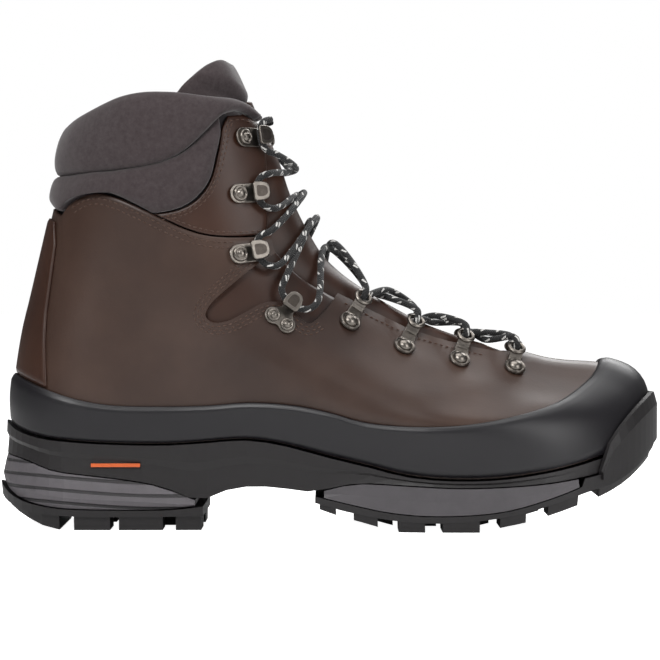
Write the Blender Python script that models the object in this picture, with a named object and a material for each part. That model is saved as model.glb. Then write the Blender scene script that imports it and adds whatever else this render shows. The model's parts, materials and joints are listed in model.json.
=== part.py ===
"""A leather mountaineering boot for the right foot, EU size 43.

The frame has +X towards the toe, +Z up and +Y towards the inner (medial) side of the foot. The origin is on the
ground, under the middle of the boot's box. Lengths are in millimetres here, and MM turns them into metres.

The upper is laid out on one skin, the outside of the leather. A point of that skin has two coordinates:
v, the level, from 0 at the feather line (where upper and sole meet) to 1 at the collar, and phi, the angle
round the boot, from 0 at the heel to pi over the toes. phi is negative on the outer (lateral) side.
"""

import math

import bmesh
import bpy
import numpy as np
from mathutils import Matrix, Vector

MM = 0.001
GAP = 0.3

# Thicknesses, measured inwards or outwards from the skin.
LEATHER = 2.2
RAND = 2.0
RAND_GAP = 0.9
BACKSTAY = 1.6
STIFFENER = 1.15
INSIDE = -2.75  # the depth of the first layer behind the leather

# Side outlines, as (x, z). The rear one runs up the heel, the front one from the toe up the instep.
REAR = [(-147.2, 50), (-147.6, 60), (-146.3, 72), (-143, 92), (-139.8, 105), (-136.5, 119), (-133, 134),
        (-129.5, 149), (-126.5, 163), (-124, 176), (-121, 187)]
FRONT = [(147.5, 56), (147.6, 61), (145.3, 67), (140.5, 71.8), (131, 75.3), (121, 76.6), (111, 77.2), (101, 78.6),
         (90, 81.6), (75, 84.8), (59.5, 89.4), (44, 95.2), (30, 102.6), (15.5, 111.4), (5, 119), (-3, 127),
         (-9, 136.5), (-14, 146), (-18.4, 156), (-22, 167), (-26.5, 179), (-32, 190)]
FEATHER = [(-147.2, 50), (-142.5, 46.2), (-131.6, 42.6), (-120, 41.2), (-106, 40.2), (-76, 39.6), (-61, 40.4),
           (-38, 42), (-22, 40), (0, 34.4), (18, 30.2), (34, 26.2), (50, 24.4), (74, 24.4), (99, 27.6),
           (120, 32.6), (134, 38), (143, 46), (147.5, 56)]
COLLAR = [(-121, 187), (-111, 193.5), (-100, 198), (-89, 200.6), (-75, 201.4), (-56, 199.6), (-43, 198.2),
          (-37, 195.5), (-32, 190)]

# Half widths of the skin: a row for each level, a column for each share of the way from heel to front.
LEVELS = [0, 0.12, 0.3, 0.5, 0.73, 1]
SHARES = [0, 0.15, 0.35, 0.55, 0.75, 0.9, 1]
HALF_WIDTHS = [
    [33, 34, 33, 41, 48.5, 45, 42],
    [34, 35, 35, 43, 50, 47, 44],
    [33, 35, 37, 42, 45, 43, 42],
    [31, 33.5, 38, 39.5, 39, 36, 34],
    [28, 31, 36.5, 37, 34, 31, 30],
    [28, 31, 37, 38.5, 36, 33, 32],
]
# How far the rounding of the front end reaches back at each level, and how full it is.
NOSE_LENGTH = [52, 66, 92, 86, 56, 40]
NOSE_FULLNESS = [2.2, 2.6, 2.9, 2.7, 2.3, 2.1]
HEEL_RADIUS = 34
# The middle line of the foot, as (x, y): a right foot turns inwards at the toes.
MIDDLE = [(-150, 0.2), (-70, -0.3), (-20, -2.8), (45, -2.8), (100, 2.2), (150, 8.2)]

# Lines on the upper's side, as (x, z).
RAND_TOP = [(-148, 71.6), (-140, 68), (-131.6, 64.7), (-117.7, 60.3), (-101, 57.4), (-76, 56.8), (-56, 57.3),
            (-37, 58.8), (-17, 57.8), (0, 54.6), (14, 50.6), (29, 48.7), (50, 48.2), (72, 49.8), (93.6, 54.1),
            (105, 57.8), (115, 63.6), (122.5, 69.6), (127, 77)]
QUARTER_TOP = [(-129.8, 148.6), (-125.7, 145), (-120.7, 150.3), (-114, 153.8), (-106, 154.8), (-98, 152.6),
               (-86, 147.3), (-76, 142.4), (-66, 138), (-56, 135.2), (-41.6, 134.5), (-30, 135.5), (-10, 140)]
NOTCH = [(-24, 128), (-35, 121), (-46, 112), (-55.5, 103), (-57, 98.5), (-54, 95.6), (-47, 96.2), (-40, 99.5),
         (-30, 104.5), (-20, 104), (-10, 95), (-3, 100), (3, 108), (8, 118)]

THROAT_END, THROAT_END_HEIGHT = 92, 81.0  # where the opening over the tongue ends, on the front outline


def spline(points, per_span=12):
    """A smooth line through the points (centripetal Catmull-Rom), read off per_span times in each span."""
    p = np.array(points, float)
    p = np.vstack([2 * p[0] - p[1], p, 2 * p[-1] - p[-2]])
    made = []
    for a, b, c, d in zip(p, p[1:], p[2:], p[3:]):
        t = np.cumsum([0] + [max(np.linalg.norm(q - o), 1e-9) ** 0.5 for o, q in ((a, b), (b, c), (c, d))])
        u = np.linspace(t[1], t[2], per_span, endpoint=False)[:, None]
        ab = (t[1] - u) / (t[1] - t[0]) * a + (u - t[0]) / (t[1] - t[0]) * b
        bc = (t[2] - u) / (t[2] - t[1]) * b + (u - t[1]) / (t[2] - t[1]) * c
        cd = (t[3] - u) / (t[3] - t[2]) * c + (u - t[2]) / (t[3] - t[2]) * d
        abc = (t[2] - u) / (t[2] - t[0]) * ab + (u - t[0]) / (t[2] - t[0]) * bc
        bcd = (t[3] - u) / (t[3] - t[1]) * bc + (u - t[1]) / (t[3] - t[1]) * cd
        made.append((t[2] - u) / (t[2] - t[1]) * abc + (u - t[1]) / (t[2] - t[1]) * bcd)
    return np.vstack([*made, p[-2:-1]])


def walk(line, share):
    """The point this share of the way along a line."""
    along = np.concatenate([[0], np.cumsum(np.linalg.norm(np.diff(line, axis=0), axis=1))])
    at = np.clip(share, 0, 1) * along[-1]
    return np.stack([np.interp(at, along, line[:, k]) for k in range(line.shape[1])], axis=-1)


def smooth(xs, ys, x):
    """A smooth curve through (xs, ys), read at x. ys may hold rows."""
    xs, ys, x = np.array(xs, float), np.array(ys, float), np.asarray(x, float)
    slopes = np.gradient(ys, xs, axis=0)
    i = np.clip(np.searchsorted(xs, x, side="right") - 1, 0, len(xs) - 2)
    h = xs[i + 1] - xs[i]
    t = np.clip((x - xs[i]) / h, 0, 1)
    if ys.ndim > 1:
        t, h = t[..., None], h[..., None]
    return (
        (1 + 2 * t) * (1 - t) ** 2 * ys[i]
        + t * (1 - t) ** 2 * h * slopes[i]
        + t * t * (3 - 2 * t) * ys[i + 1]
        + t * t * (t - 1) * h * slopes[i + 1]
    )


def smooth_each(xs, rows, x):
    """As smooth, where every x has its own row values."""
    xs, slopes = np.array(xs, float), np.gradient(rows, xs, axis=0)
    i = np.clip(np.searchsorted(xs, x, side="right") - 1, 0, len(xs) - 2)
    pick = lambda table, k: np.take_along_axis(table, k[None], axis=0)[0]
    h = xs[i + 1] - xs[i]
    t = np.clip((x - xs[i]) / h, 0, 1)
    return (
        (1 + 2 * t) * (1 - t) ** 2 * pick(rows, i)
        + t * (1 - t) ** 2 * h * pick(slopes, i)
        + t * t * (3 - 2 * t) * pick(rows, i + 1)
        + t * t * (t - 1) * h * pick(slopes, i + 1)
    )


REAR_LINE, FRONT_LINE = spline(REAR), spline(FRONT)
FEATHER_LINE, COLLAR_LINE = spline(FEATHER), spline(COLLAR)


def height_on(line, x):
    return np.interp(x, line[:, 0], line[:, 1])


def bow(line, share):
    """How far a line from heel to front stands above its own chord."""
    start, end = line[0], line[-1]
    return height_on(line, start[0] + share * (end[0] - start[0])) - (start[1] + share * (end[1] - start[1]))


def side_point(share, v):
    """(x, z) of the skin at this share of the way from the rear outline to the front one."""
    rear, front = walk(REAR_LINE, v), walk(FRONT_LINE, v)
    x = rear[..., 0] + share * (front[..., 0] - rear[..., 0])
    z = rear[..., 1] + share * (front[..., 1] - rear[..., 1])
    return x, z + (1 - v) * bow(FEATHER_LINE, share) + v**3 * bow(COLLAR_LINE, share)


def half_width(share, v):
    """Half the skin's width there, rounded off at the heel and at the front."""
    share, v = np.broadcast_arrays(np.asarray(share, float), np.asarray(v, float))
    rows = np.moveaxis(smooth(SHARES, np.array(HALF_WIDTHS).T, share), -1, 0)
    width = smooth_each(LEVELS, rows, v)
    length = walk(FRONT_LINE, v)[..., 0] - walk(REAR_LINE, v)[..., 0]
    heel = np.clip(1 - share * length / HEEL_RADIUS, 0, 1)
    nose = np.clip(1 - (1 - share) * length / smooth(LEVELS, NOSE_LENGTH, v), 0, 1)
    return width * np.sqrt(1 - heel**2) * np.sqrt(1 - nose ** smooth(LEVELS, NOSE_FULLNESS, v))


def skin(phi, v):
    """A point of the skin."""
    phi, v = np.broadcast_arrays(np.asarray(phi, float), np.asarray(v, float))
    share = (1 - np.cos(phi)) / 2
    x, z = side_point(share, v)
    side = np.where(np.sin(phi) < 0, -1, 1) * half_width(share, v)
    return np.stack([x, np.interp(x, *np.array(MIDDLE).T) + side, z], axis=-1)


def outward(phi, v):
    """The skin's unit normal, away from the foot."""
    e, f = 0.01, 0.004
    phi, v = np.broadcast_arrays(np.asarray(phi, float), np.asarray(v, float))
    low, high = np.clip(v - f, 0, 1), np.clip(v + f, 0, 1)
    along = skin(phi + e, v) - skin(phi - e, v)
    up = skin(phi, high) - skin(phi, low)
    n = np.cross(up, along)
    n = n / np.maximum(np.linalg.norm(n, axis=-1, keepdims=True), 1e-9)
    return n


def off_skin(phi, v, d):
    return skin(phi, v) + np.asarray(d, float)[..., None] * outward(phi, v)


def level_of(line, phi):
    """The level at which the skin crosses a side line, for each phi."""
    levels = np.linspace(0, 1, 241)
    share = (1 - np.cos(np.ravel(phi))) / 2
    x, z = side_point(share[None, :], levels[:, None])
    above = z - np.interp(x, line[:, 0], line[:, 1])
    found = []
    for column in above.T:
        i = int(np.argmax((column[1:] >= 0) & (column[:-1] < 0)))
        a, b = column[i], column[i + 1]
        found.append(levels[i] + (levels[i + 1] - levels[i]) * np.clip(-a / (b - a), 0, 1) if b > a else 0)
    return np.array(found).reshape(np.shape(phi))


def place(x, z):
    """(phi, v) of side points, phi being taken positive."""
    x, z = np.broadcast_arrays(np.asarray(x, float), np.asarray(z, float))
    levels = np.linspace(0, 1, 401)
    rear, front = walk(REAR_LINE, levels)[:, 0], walk(FRONT_LINE, levels)[:, 0]
    phis, vs = [], []
    for px, pz in zip(np.ravel(x), np.ravel(z)):
        share = np.clip((px - rear) / (front - rear), 0, 1)
        miss = np.abs(side_point(share, levels)[1] - pz) + 4 * np.abs(rear + share * (front - rear) - px)
        best = int(np.argmin(miss))
        lo, hi = max(best - 1, 0), min(best + 1, 400)
        fine = np.linspace(levels[lo], levels[hi], 41)
        r, f = walk(REAR_LINE, fine)[:, 0], walk(FRONT_LINE, fine)[:, 0]
        s = np.clip((px - r) / (f - r), 0, 1)
        k = int(np.argmin(np.abs(side_point(s, fine)[1] - pz) + 4 * np.abs(r + s * (f - r) - px)))
        phis.append(math.acos(1 - 2 * s[k]))
        vs.append(fine[k])
    return np.array(phis).reshape(x.shape), np.array(vs).reshape(x.shape)


def phi_at_width(v, width):
    """The phi near the front at which the skin is this far from the middle line."""
    phis = np.linspace(math.pi / 2, math.pi, 121)
    v, width = np.broadcast_arrays(np.asarray(v, float), np.asarray(width, float))
    table = half_width(((1 - np.cos(phis)) / 2)[None, :], v.reshape(-1, 1))
    found = [np.interp(-w, -row, phis) for row, w in zip(table, width.ravel())]
    return np.array(found).reshape(v.shape)


# ---- bodies ----

def body(name, verts, faces):
    """One closed body from millimetre points, its doubles merged and its normals turned outwards."""
    data = bpy.data.meshes.new(name)
    bm = bmesh.new()
    points = [bm.verts.new([c * MM for c in p]) for p in verts]
    for face in faces:
        if len(set(face)) > 2:
            bm.faces.new([points[i] for i in face])
    bmesh.ops.remove_doubles(bm, verts=bm.verts, dist=2e-5)
    bmesh.ops.dissolve_degenerate(bm, edges=bm.edges, dist=1e-6)
    bmesh.ops.recalc_face_normals(bm, faces=bm.faces)
    if bm.calc_volume(signed=True) < 0:
        bmesh.ops.reverse_faces(bm, faces=bm.faces)
    bm.to_mesh(data)
    bm.free()
    made = bpy.data.objects.new(name, data)
    bpy.context.collection.objects.link(made)
    return made


def combine(target, others, operation):
    """Unite bodies with the target, or cut them from it, and leave one plain mesh."""
    for other in others:
        modifier = target.modifiers.new("combine", "BOOLEAN")
        modifier.operation, modifier.solver, modifier.object = operation, "EXACT", other
        seen = target.evaluated_get(bpy.context.evaluated_depsgraph_get())
        data = bpy.data.meshes.new_from_object(seen)
        target.modifiers.clear()
        target.data = data
        bpy.data.objects.remove(other)
    return target


def shell(name, phi, v, d_out, d_in):
    """A sheet of the skin from d_in to d_out, as one closed body. Rows run up, columns run round."""
    phi = np.where(phi <= 1e-6 - math.pi, math.pi, phi)
    outer, inner = off_skin(phi, v, d_out), off_skin(phi, v, d_in)
    rows, cols = phi.shape
    key, index = {}, np.zeros((rows, cols), int)
    for r in range(rows):
        for c in range(cols):
            at = tuple(np.round(outer[r, c], 2))
            index[r, c] = key.setdefault(at, len(key))
    total = len(key)
    verts = np.zeros((2 * total, 3))
    for r in range(rows):
        for c in range(cols):
            verts[index[r, c]], verts[total + index[r, c]] = outer[r, c], inner[r, c]
    quads = [[index[r, c], index[r, c + 1], index[r + 1, c + 1], index[r + 1, c]]
             for r in range(rows - 1) for c in range(cols - 1)]
    quads = [list(dict.fromkeys(q)) for q in quads]
    quads = [q for q in quads if len(q) > 2]
    used = {}
    for q in quads:
        for a, b in zip(q, q[1:] + q[:1]):
            used[(a, b)] = used.get((a, b), 0) + 1
    rim = [(a, b) for a, b in used if (b, a) not in used]
    faces = quads + [[i + total for i in q[::-1]] for q in quads]
    faces += [[b, a, a + total, b + total] for a, b in rim]
    return body(name, verts, faces)


def coons(bottom, top, rear, front, across, up, heel=0.0):
    """Side points filling four lines. Rows run from bottom to top, columns from rear to front. With heel, the
    columns stand closer together at the rear, where the skin turns."""
    s, t = np.linspace(0, 1, across)[None, :, None], np.linspace(0, 1, up)[:, None, None]
    s = (1 - heel) * s + heel * s**2
    b, o, r, f = (spline(line) for line in (bottom, top, rear, front))
    bw, ow = walk(b, s[0, :, 0])[None], walk(o, s[0, :, 0])[None]
    rw, fw = walk(r, t[:, 0, 0])[:, None], walk(f, t[:, 0, 0])[:, None]
    corners = (1 - s) * (1 - t) * bw[:, :1] + s * (1 - t) * bw[:, -1:] + (1 - s) * t * ow[:, :1] + s * t * ow[:, -1:]
    return (1 - t) * bw + t * ow + (1 - s) * rw + s * fw - corners


def dome(shape, edge, height, round_ends=(True, True, True, True), power=0.5):
    """How far a padded sheet stands off: edge at its border, rising to height. Ends: bottom, top, left, right."""
    r, c = np.linspace(0, 1, shape[0])[:, None], np.linspace(0, 1, shape[1])[None, :]
    bottom, top, left, right = round_ends
    rows = np.clip(np.minimum(r if bottom else 1, 1 - r if top else 1), 0, 1) * 2
    cols = np.minimum(c if left else 1, 1 - c if right else 1) * 8
    rise = np.sin(np.clip(rows, 0, 1) * math.pi / 2) ** power * np.sin(np.clip(cols, 0, 1) * math.pi / 2) ** power
    return edge + (height - edge) * rise


def outline(side):
    """One side of the feather line in plan, as phi, points and outward normals."""
    phis = np.linspace(0, math.pi, 721)
    p = skin(side * phis, 0)[:, :2]
    along = np.gradient(np.vstack([[p[1] * (1, -1) + (0, 2 * p[0, 1])], p, [p[-2] * (1, -1) + (0, 2 * p[-1, 1])]]),
                        axis=0)[1:-1]
    n = np.stack([-along[:, 1], along[:, 0]], axis=1) * side
    return phis, p, n / np.linalg.norm(n, axis=1, keepdims=True)


OUTLINES = {side: outline(side) for side in (-1, 1)}


def sole_edge(phi, side, offset):
    """A point of the sole's plan outline."""
    phis, points, normals = OUTLINES[side]
    at = [np.interp(phi, phis, column) for column in np.hstack([points, normals]).T]
    return np.array([at[0] + offset * at[2], at[1] + offset * at[3]])


def slab(name, phi0, phi1, steps, levels, low, high, c0=-1.0, c1=1.0, extra=()):
    """A layer of the sole between two heights. levels holds (share of the height, outline offset)."""
    rings = []
    for phi in np.union1d(np.linspace(phi0, phi1, steps), extra):
        ring = []
        for side, c in ((-1, c0), (1, c1)):
            base = sole_edge(phi, side, 0)[0]
            for share, offset in levels if side < 0 else levels[::-1]:
                off = offset(phi) if callable(offset) else offset
                left, right = sole_edge(phi, -1, off), sole_edge(phi, 1, off)
                x, y = left + (right - left) * (c + 1) / 2
                ring.append((x, y, low(base) + share * (high(base) - low(base))))
        rings.append(ring)
    n = len(rings[0])
    verts = [p for ring in rings for p in ring]
    faces = [[k * n + i, k * n + (i + 1) % n, (k + 1) * n + (i + 1) % n, (k + 1) * n + i]
             for k in range(len(rings) - 1) for i in range(n)]
    if phi0 > 0.001 or (c0, c1) != (-1, 1):
        faces.append(list(range(n))[::-1])
    if phi1 < math.pi - 0.001 or (c0, c1) != (-1, 1):
        faces.append([(len(rings) - 1) * n + i for i in range(n)])
    return body(name, verts, faces)


def at_x(x):
    """The phi of the feather line at this x."""
    share = (x - FEATHER_LINE[0, 0]) / (FEATHER_LINE[-1, 0] - FEATHER_LINE[0, 0])
    return math.acos(1 - 2 * min(max(share, 0), 1))


def height_line(points, drop=0.0):
    line = np.array(points)
    if len(line) > 2:
        line = spline(line)
    return lambda x: float(np.interp(x, line[:, 0], line[:, 1])) - drop


# ---- the sole ----

MIDSOLE_LOW = [(-148, 34.4), (-138.4, 32.2), (-132.8, 30), (-125.7, 27.4), (-110.7, 25.3),
               (-96.1, 23.6), (-81.1, 21), (-71.2, 17.8), (-63, 14.4), (-57.5, 14.4), (-48.6, 18), (-36.4, 20.2),
               (-21.9, 19.7), (-11, 18.2), (-4, 18.6), (4, 20.8), (15, 22.3), (28.9, 21.8), (61.3, 20.4),
               (93.6, 21.8), (108, 23.6), (119, 25.6), (127, 28), (134, 32), (141, 38), (148, 44)]
HEEL_CUSHION_LOW = [(-148, 22.5), (-144, 17.5), (-138, 13.6), (-125.7, 10.6), (-96.1, 9.6), (-71.2, 9.9), (-60, 11.4)]
FORE_CUSHION_LOW = [(-6, 16.4), (7.3, 13.2), (28.9, 8.9), (50.5, 7.6), (77.3, 9.4), (93.6, 13.4), (109.7, 19.2),
                    (120, 24)]
HEEL_PLATE_LOW = [(-148, 15.8), (-144, 12), (-137, 8.6), (-122, 6.6), (-54, 6.4)]
FORE_PLATE_LOW = [(-9, 14), (5, 10), (28, 5.6), (50, 4.2), (73, 6), (93, 10.2), (116, 18), (126, 21), (135, 26),
                  (143, 33), (148, 38.5)]
HEEL_TREAD = [(-148, 13.2), (-143, 9), (-137, 5.2), (-131, 2.2), (-126, 0.5), (-121, 0), (-54, 0)]
FORE_TREAD = [(-9, 11.8), (3.1, 7.7), (12, 5.2), (22.3, 2.4), (29, 0.6), (32, 0), (68.5, 0), (77.3, 2.2),
              (88.1, 4.4), (98.5, 7.4), (111.3, 11.8), (121, 15.3), (133, 21.6), (144, 31), (148, 35.5)]
RIM_OFFSET = 4.6
CUSHION_END = 112


def toe_inset(offset, at_toe):
    return lambda phi: offset + (at_toe - offset) * np.clip((phi - 2.15) / 0.3, 0, 1)


def make_midsole():
    low, high = height_line(MIDSOLE_LOW), height_line(FEATHER, 0.8)
    levels = [(0, toe_inset(4.2, 2.7)), (0.5, toe_inset(3.6, 2.7)), (0.66, toe_inset(RIM_OFFSET, 2.7)),
              (1, toe_inset(RIM_OFFSET - 0.2, 2.7))]
    midsole = slab("midsole", 0, math.pi, 49, levels, low, high)
    pocket = slab("pocket", at_x(-106), at_x(10), 13, [(0, -8), (1, -8)],
                  height_line(FEATHER, 2.6), height_line(FEATHER, -3), -0.32, 0.32)
    return combine(midsole, [pocket], "DIFFERENCE")


def make_sole():
    make_midsole()
    slab("heel_cushion", 0, at_x(-62), 16, [(0, 5.4), (0.3, 6.2), (0.75, 5.0), (1, 4.2)],
         height_line(HEEL_CUSHION_LOW), height_line(MIDSOLE_LOW, 0.6))
    slab("forefoot_cushion", at_x(-2), at_x(CUSHION_END), 16, [(0, 5.0), (0.5, 4.4), (1, 4.2)],
         height_line(FORE_CUSHION_LOW), height_line(MIDSOLE_LOW, 0.6))
    heel = slab("outsole_heel", 0, at_x(-58), 17, [(0, 6.6), (1, 7.2)],
                height_line(HEEL_PLATE_LOW), height_line(HEEL_CUSHION_LOW, 0.5))
    combine(heel, [lug(HEEL_TREAD, HEEL_PLATE_LOW, *place) for place in (
        (-150, -123, -1, 1), (-117, -101, -1, -0.3), (-117, -101, 0.3, 1), (-97, -77, -1, -0.36), (-97, -77, 0.36, 1),
        (-71, -59, -1, -0.3), (-71, -59, 0.3, 1), (-92, -66, -0.2, 0.2))], "UNION")
    fore = slab("outsole_forefoot", at_x(-6), math.pi, 34, [(0, 5.4), (1, toe_inset(5.0, 5.4))],
                height_line(FORE_PLATE_LOW), fore_top, extra=[at_x(CUSHION_END + 1), at_x(CUSHION_END + 3)])
    lugs = [lug(FORE_TREAD, FORE_PLATE_LOW, x0, x1, *side)
            for x0, x1 in ((-4, 3.5), (11.5, 22.5), (32, 44), (51.5, 68), (77, 88.5), (98.5, 111.5))
            for side in ((-1, -0.42), (0.42, 1))]
    lugs += [lug(FORE_TREAD, FORE_PLATE_LOW, x0, x1, -0.22, 0.22) for x0, x1 in ((20, 30), (37, 50), (58, 74), (84, 97))]
    lugs.append(lug(FORE_TREAD, FORE_PLATE_LOW, 121, 145, -1, 1))
    combine(fore, lugs + [toe_bumper()], "UNION")


def fore_top(x):
    """The top of the forefoot's rubber: under the cushion, and from its tip on under the midsole."""
    return height_line(FORE_CUSHION_LOW, 0.5)(x) if x < CUSHION_END + 2 else height_line(MIDSOLE_LOW, 0.6)(x)


def lug(tread, plate, x0, x1, c0, c1):
    """A tread block, from the ground up into the plate it is moulded with."""
    line, top = height_line(tread), height_line(plate, -0.8)
    bottom = lambda x: max(line(x), 0.0)
    return slab("lug", at_x(x0), at_x(x1), 4 if x1 - x0 < 20 else 7, [(0, 4.2), (1, 5.2)], bottom, top, c0, c1)


def toe_bumper():
    """The rubber that wraps up over the end of the rand."""
    rows, verts, faces = np.linspace(2.54, 2 * math.pi - 2.54, 25), [], []
    for phi in rows:
        side, at = (1, phi) if phi <= math.pi else (-1, 2 * math.pi - phi)
        rise = np.clip((at - 2.54) / 0.45, 0, 1) ** 0.5
        for offset, z in ((3.1, 0), (6.9, 0), (6.9, 0.75), (5.4, 1.0), (3.3, 1.0)):
            x, y = sole_edge(min(at, math.pi), side, offset)
            low = height_line(MIDSOLE_LOW, 3.0)(sole_edge(min(at, math.pi), side, 0)[0])
            verts.append((x, y, low + z * (4 + rise * (62 - low - 4))))
    n = 5
    for k in range(len(rows) - 1):
        faces += [[k * n + i, k * n + (i + 1) % n, (k + 1) * n + (i + 1) % n, (k + 1) * n + i] for i in range(n)]
    faces += [list(range(n))[::-1], [(len(rows) - 1) * n + i for i in range(n)]]
    return body("bumper", verts, faces)


def make_cushion_bars():
    """The flat inlays between the heel cushion and the midsole."""
    for name, side in (("cushion_bar_outer", -1), ("cushion_bar_inner", 1)):
        verts = []
        for x in (-109.7, -87.2):
            for offset in (4.1, 5.0):
                for z in (29.1, 30.7):
                    px, py = sole_edge(at_x(x), side, offset)
                    verts.append((x, py, z))
        faces = [[0, 1, 3, 2], [4, 6, 7, 5], [0, 4, 5, 1], [2, 3, 7, 6], [0, 2, 6, 4], [1, 5, 7, 3]]
        body(name, verts, faces)


def make_insoles():
    board_low, board_high = height_line(FEATHER, -0.1), height_line(FEATHER, -2.0)
    slab("insole_board", at_x(-143), at_x(136), 40, [(0, -3.4), (1, -3.4)], board_low, board_high)
    slab("footbed", at_x(-138), at_x(131), 40, [(0, toe_inset(-8.2, -9.2)), (1, toe_inset(-7.8, -8.8))],
         height_line(FEATHER, -2.5), height_line(FEATHER, -6.5))
    slab("shank", at_x(-103), at_x(7), 12, [(0, -8), (1, -8)], height_line(FEATHER, 2.1), height_line(FEATHER, 0.5),
         -0.26, 0.26)


# ---- the upper ----

BOARD_TOP = [(x, z + 2.4) for x, z in FEATHER]
COUNTER_TOP = [(-150, 104), (-120, 101), (-92, 86), (-66, 64), (-48, 50)]
PUFF_REAR = [(88, 33), (96, 52), (101, 66), (106, 84)]
THROAT = [(-32.5, 189.6), (-29.5, 180), (-28.5, 167), (-28.2, 155), (-28, 140), (-25, 126), (-9, 115.5),
          (7.8, 107), (24, 98.5), (41, 91), (60, 85.4), (75, 82), (84, 81.2)]
FLEX_UPPER = [(-62, 108), (-50, 116.5), (-38, 125), (-30, 130), (-24.5, 129)]
FLEX_LOWER = [(-62, 90), (-52, 88), (-40, 91), (-28, 92), (-16, 86), (-6, 88), (5, 98), (8.5, 105.5)]
FLEX_FRONT = [(8.5, 105.5), (0, 110), (-12, 117), (-24.5, 129)]


def throat_phis(v):
    """The phi of the leather's edge beside the tongue. Below the throat the leather closes over, at pi."""
    phi, levels = place(*np.array(THROAT).T)
    order = np.argsort(levels)
    end = place(THROAT_END, THROAT_END_HEIGHT)[1]
    xs = np.concatenate([[end], levels[order]])
    shares = np.concatenate([[1.0], (1 - np.cos(phi[order])) / 2])
    share = np.where(v <= end, 1.0, np.interp(v, xs, shares))
    return np.arccos(1 - 2 * np.clip(share, 0, 1))


COLUMNS = 49


def warp(t):
    """Column places from -1 to 1, closer together at the heel."""
    return np.sign(t) * (0.72 * np.abs(t) + 0.28 * np.abs(t) ** 2)


def upper_grid(bottom, top, columns, rows, edge):
    """phi and v of a sheet wrapped round the boot, between two levels and as far forward as edge(v)."""
    t, r = warp(np.linspace(-1, 1, columns))[None, :], np.asarray(rows)[:, None]
    phi = np.broadcast_to(t * math.pi, (len(rows), columns)).copy()
    for _ in range(12):
        low, high = bottom(np.abs(phi)), top(np.abs(phi))
        v = low + r * (high - low)
        phi = 0.5 * phi + 0.5 * t * edge(v)
    return t * edge(v), v


def from_side(points, side, rear_fixed=False):
    """(phi, v) of a grid of side points on one side."""
    phi, v = place(points[..., 0], points[..., 1])
    if rear_fixed:
        phi[:, 0] = 0
    return side * phi, v


def both_sides(points):
    """(phi, v) of a grid that runs from one front edge, round the heel, to the other."""
    phi, v = from_side(points, 1, rear_fixed=True)
    return np.hstack([-phi[:, :0:-1], phi]), np.hstack([v[:, :0:-1], v])


def mirrored(name, points, d_out, d_in):
    for side, where in ((-1, "outer"), (1, "inner")):
        phi, v = from_side(points, side)
        shell(f"{name}_{where}", phi, v, d_out, d_in)


def notch_cutter():
    """A bar through the whole upper, in the shape of the flex notch."""
    outline = np.vstack([spline(NOTCH, 5), [(40, 150), (-10, 150), (-24, 131)]])
    n = len(outline)
    verts = [(x, y, z) for y in (-80, 80) for x, z in outline]
    faces = [list(range(n)), list(range(2 * n - 1, n - 1, -1))]
    faces += [[i, i + n, (i + 1) % n + n, (i + 1) % n] for i in range(n)]
    return body("notch", verts, faces)


def make_upper_leather():
    rows = [0, 0.03, 0.06, 0.09, 0.12, 0.155, 0.2, 0.27, 0.36, 0.47, 0.58, 0.7, 0.8, 0.9, 1]
    line = spline(QUARTER_TOP)
    phi, v = upper_grid(lambda p: np.zeros_like(p), lambda p: level_of(line, p), COLUMNS, rows, throat_phis)
    leather = shell("upper_leather", phi, v, np.zeros_like(v), np.full_like(v, -LEATHER))
    combine(leather, [notch_cutter()], "DIFFERENCE")


def make_rand():
    phi = math.pi * warp(np.linspace(-1, 1, COLUMNS))[None, :] * np.ones((6, 1))
    top = level_of(spline(RAND_TOP), np.abs(phi[0]))
    share = np.array([0, 0.25, 0.5, 0.72, 0.93, 1])[:, None]
    thick = np.array([RAND, RAND, RAND, RAND - 0.1, RAND - 0.4, 1.0])[:, None] * np.ones_like(phi)
    shell("rubber_rand", phi, 0.004 + share * (top - 0.004), RAND_GAP + thick, np.full_like(phi, RAND_GAP))


def make_backstay():
    levels = np.linspace(level_of(spline(RAND_TOP), np.zeros(1))[0], place(-130, 143)[1], 12)
    widths = np.interp(levels, [levels[0], levels[5], levels[-2], levels[-1]], [16, 9, 6, 3])
    rear = walk(REAR_LINE, levels)[:, 0]
    length = walk(FRONT_LINE, levels)[:, 0] - rear
    reach = np.arccos(1 - 2 * np.clip(widths / length, 0, 1))
    phi = reach[:, None] * np.linspace(-1, 1, 9)[None, :]
    low = level_of(spline(RAND_TOP), np.abs(phi[0])) + 0.006
    v = low + (levels[:, None] - levels[0]) / (levels[-1] - levels[0]) * (levels[-1] - low)
    shell("backstay", phi, v, np.full_like(v, GAP + BACKSTAY), np.full_like(v, GAP))


def make_stiffeners():
    phi = np.linspace(-1, 1, 25)[None, :] * np.ones((5, 1)) * at_x(-56)
    low, high = level_of(spline(BOARD_TOP), np.abs(phi[0])), level_of(spline(COUNTER_TOP), np.abs(phi[0]))
    v = low + np.linspace(0, 1, 5)[:, None] * (high - low)
    shell("heel_counter", phi, v, np.full_like(v, INSIDE), np.full_like(v, INSIDE - STIFFENER))
    t = np.linspace(-1, 1, 21)[None, :]
    levels = np.linspace(0.06, 0.175, 7)[:, None]
    start = place(*walk(spline(PUFF_REAR), np.linspace(0.1, 0.8, 7)).T)[0][:, None]
    phi = math.pi + (math.pi - start) * t
    v = levels * np.ones_like(t)
    shell("toe_puff", phi, v, np.full_like(v, INSIDE - 0.95), np.full_like(v, INSIDE - 0.95 - STIFFENER))


def make_flex_panels():
    points = coons(FLEX_LOWER, FLEX_UPPER, [FLEX_LOWER[0], (-65, 99), FLEX_UPPER[0]], FLEX_FRONT, 12, 7)
    shape = points.shape[:2]
    mirrored("flex_panel", points, np.full(shape, INSIDE), np.full(shape, INSIDE - STIFFENER))


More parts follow.
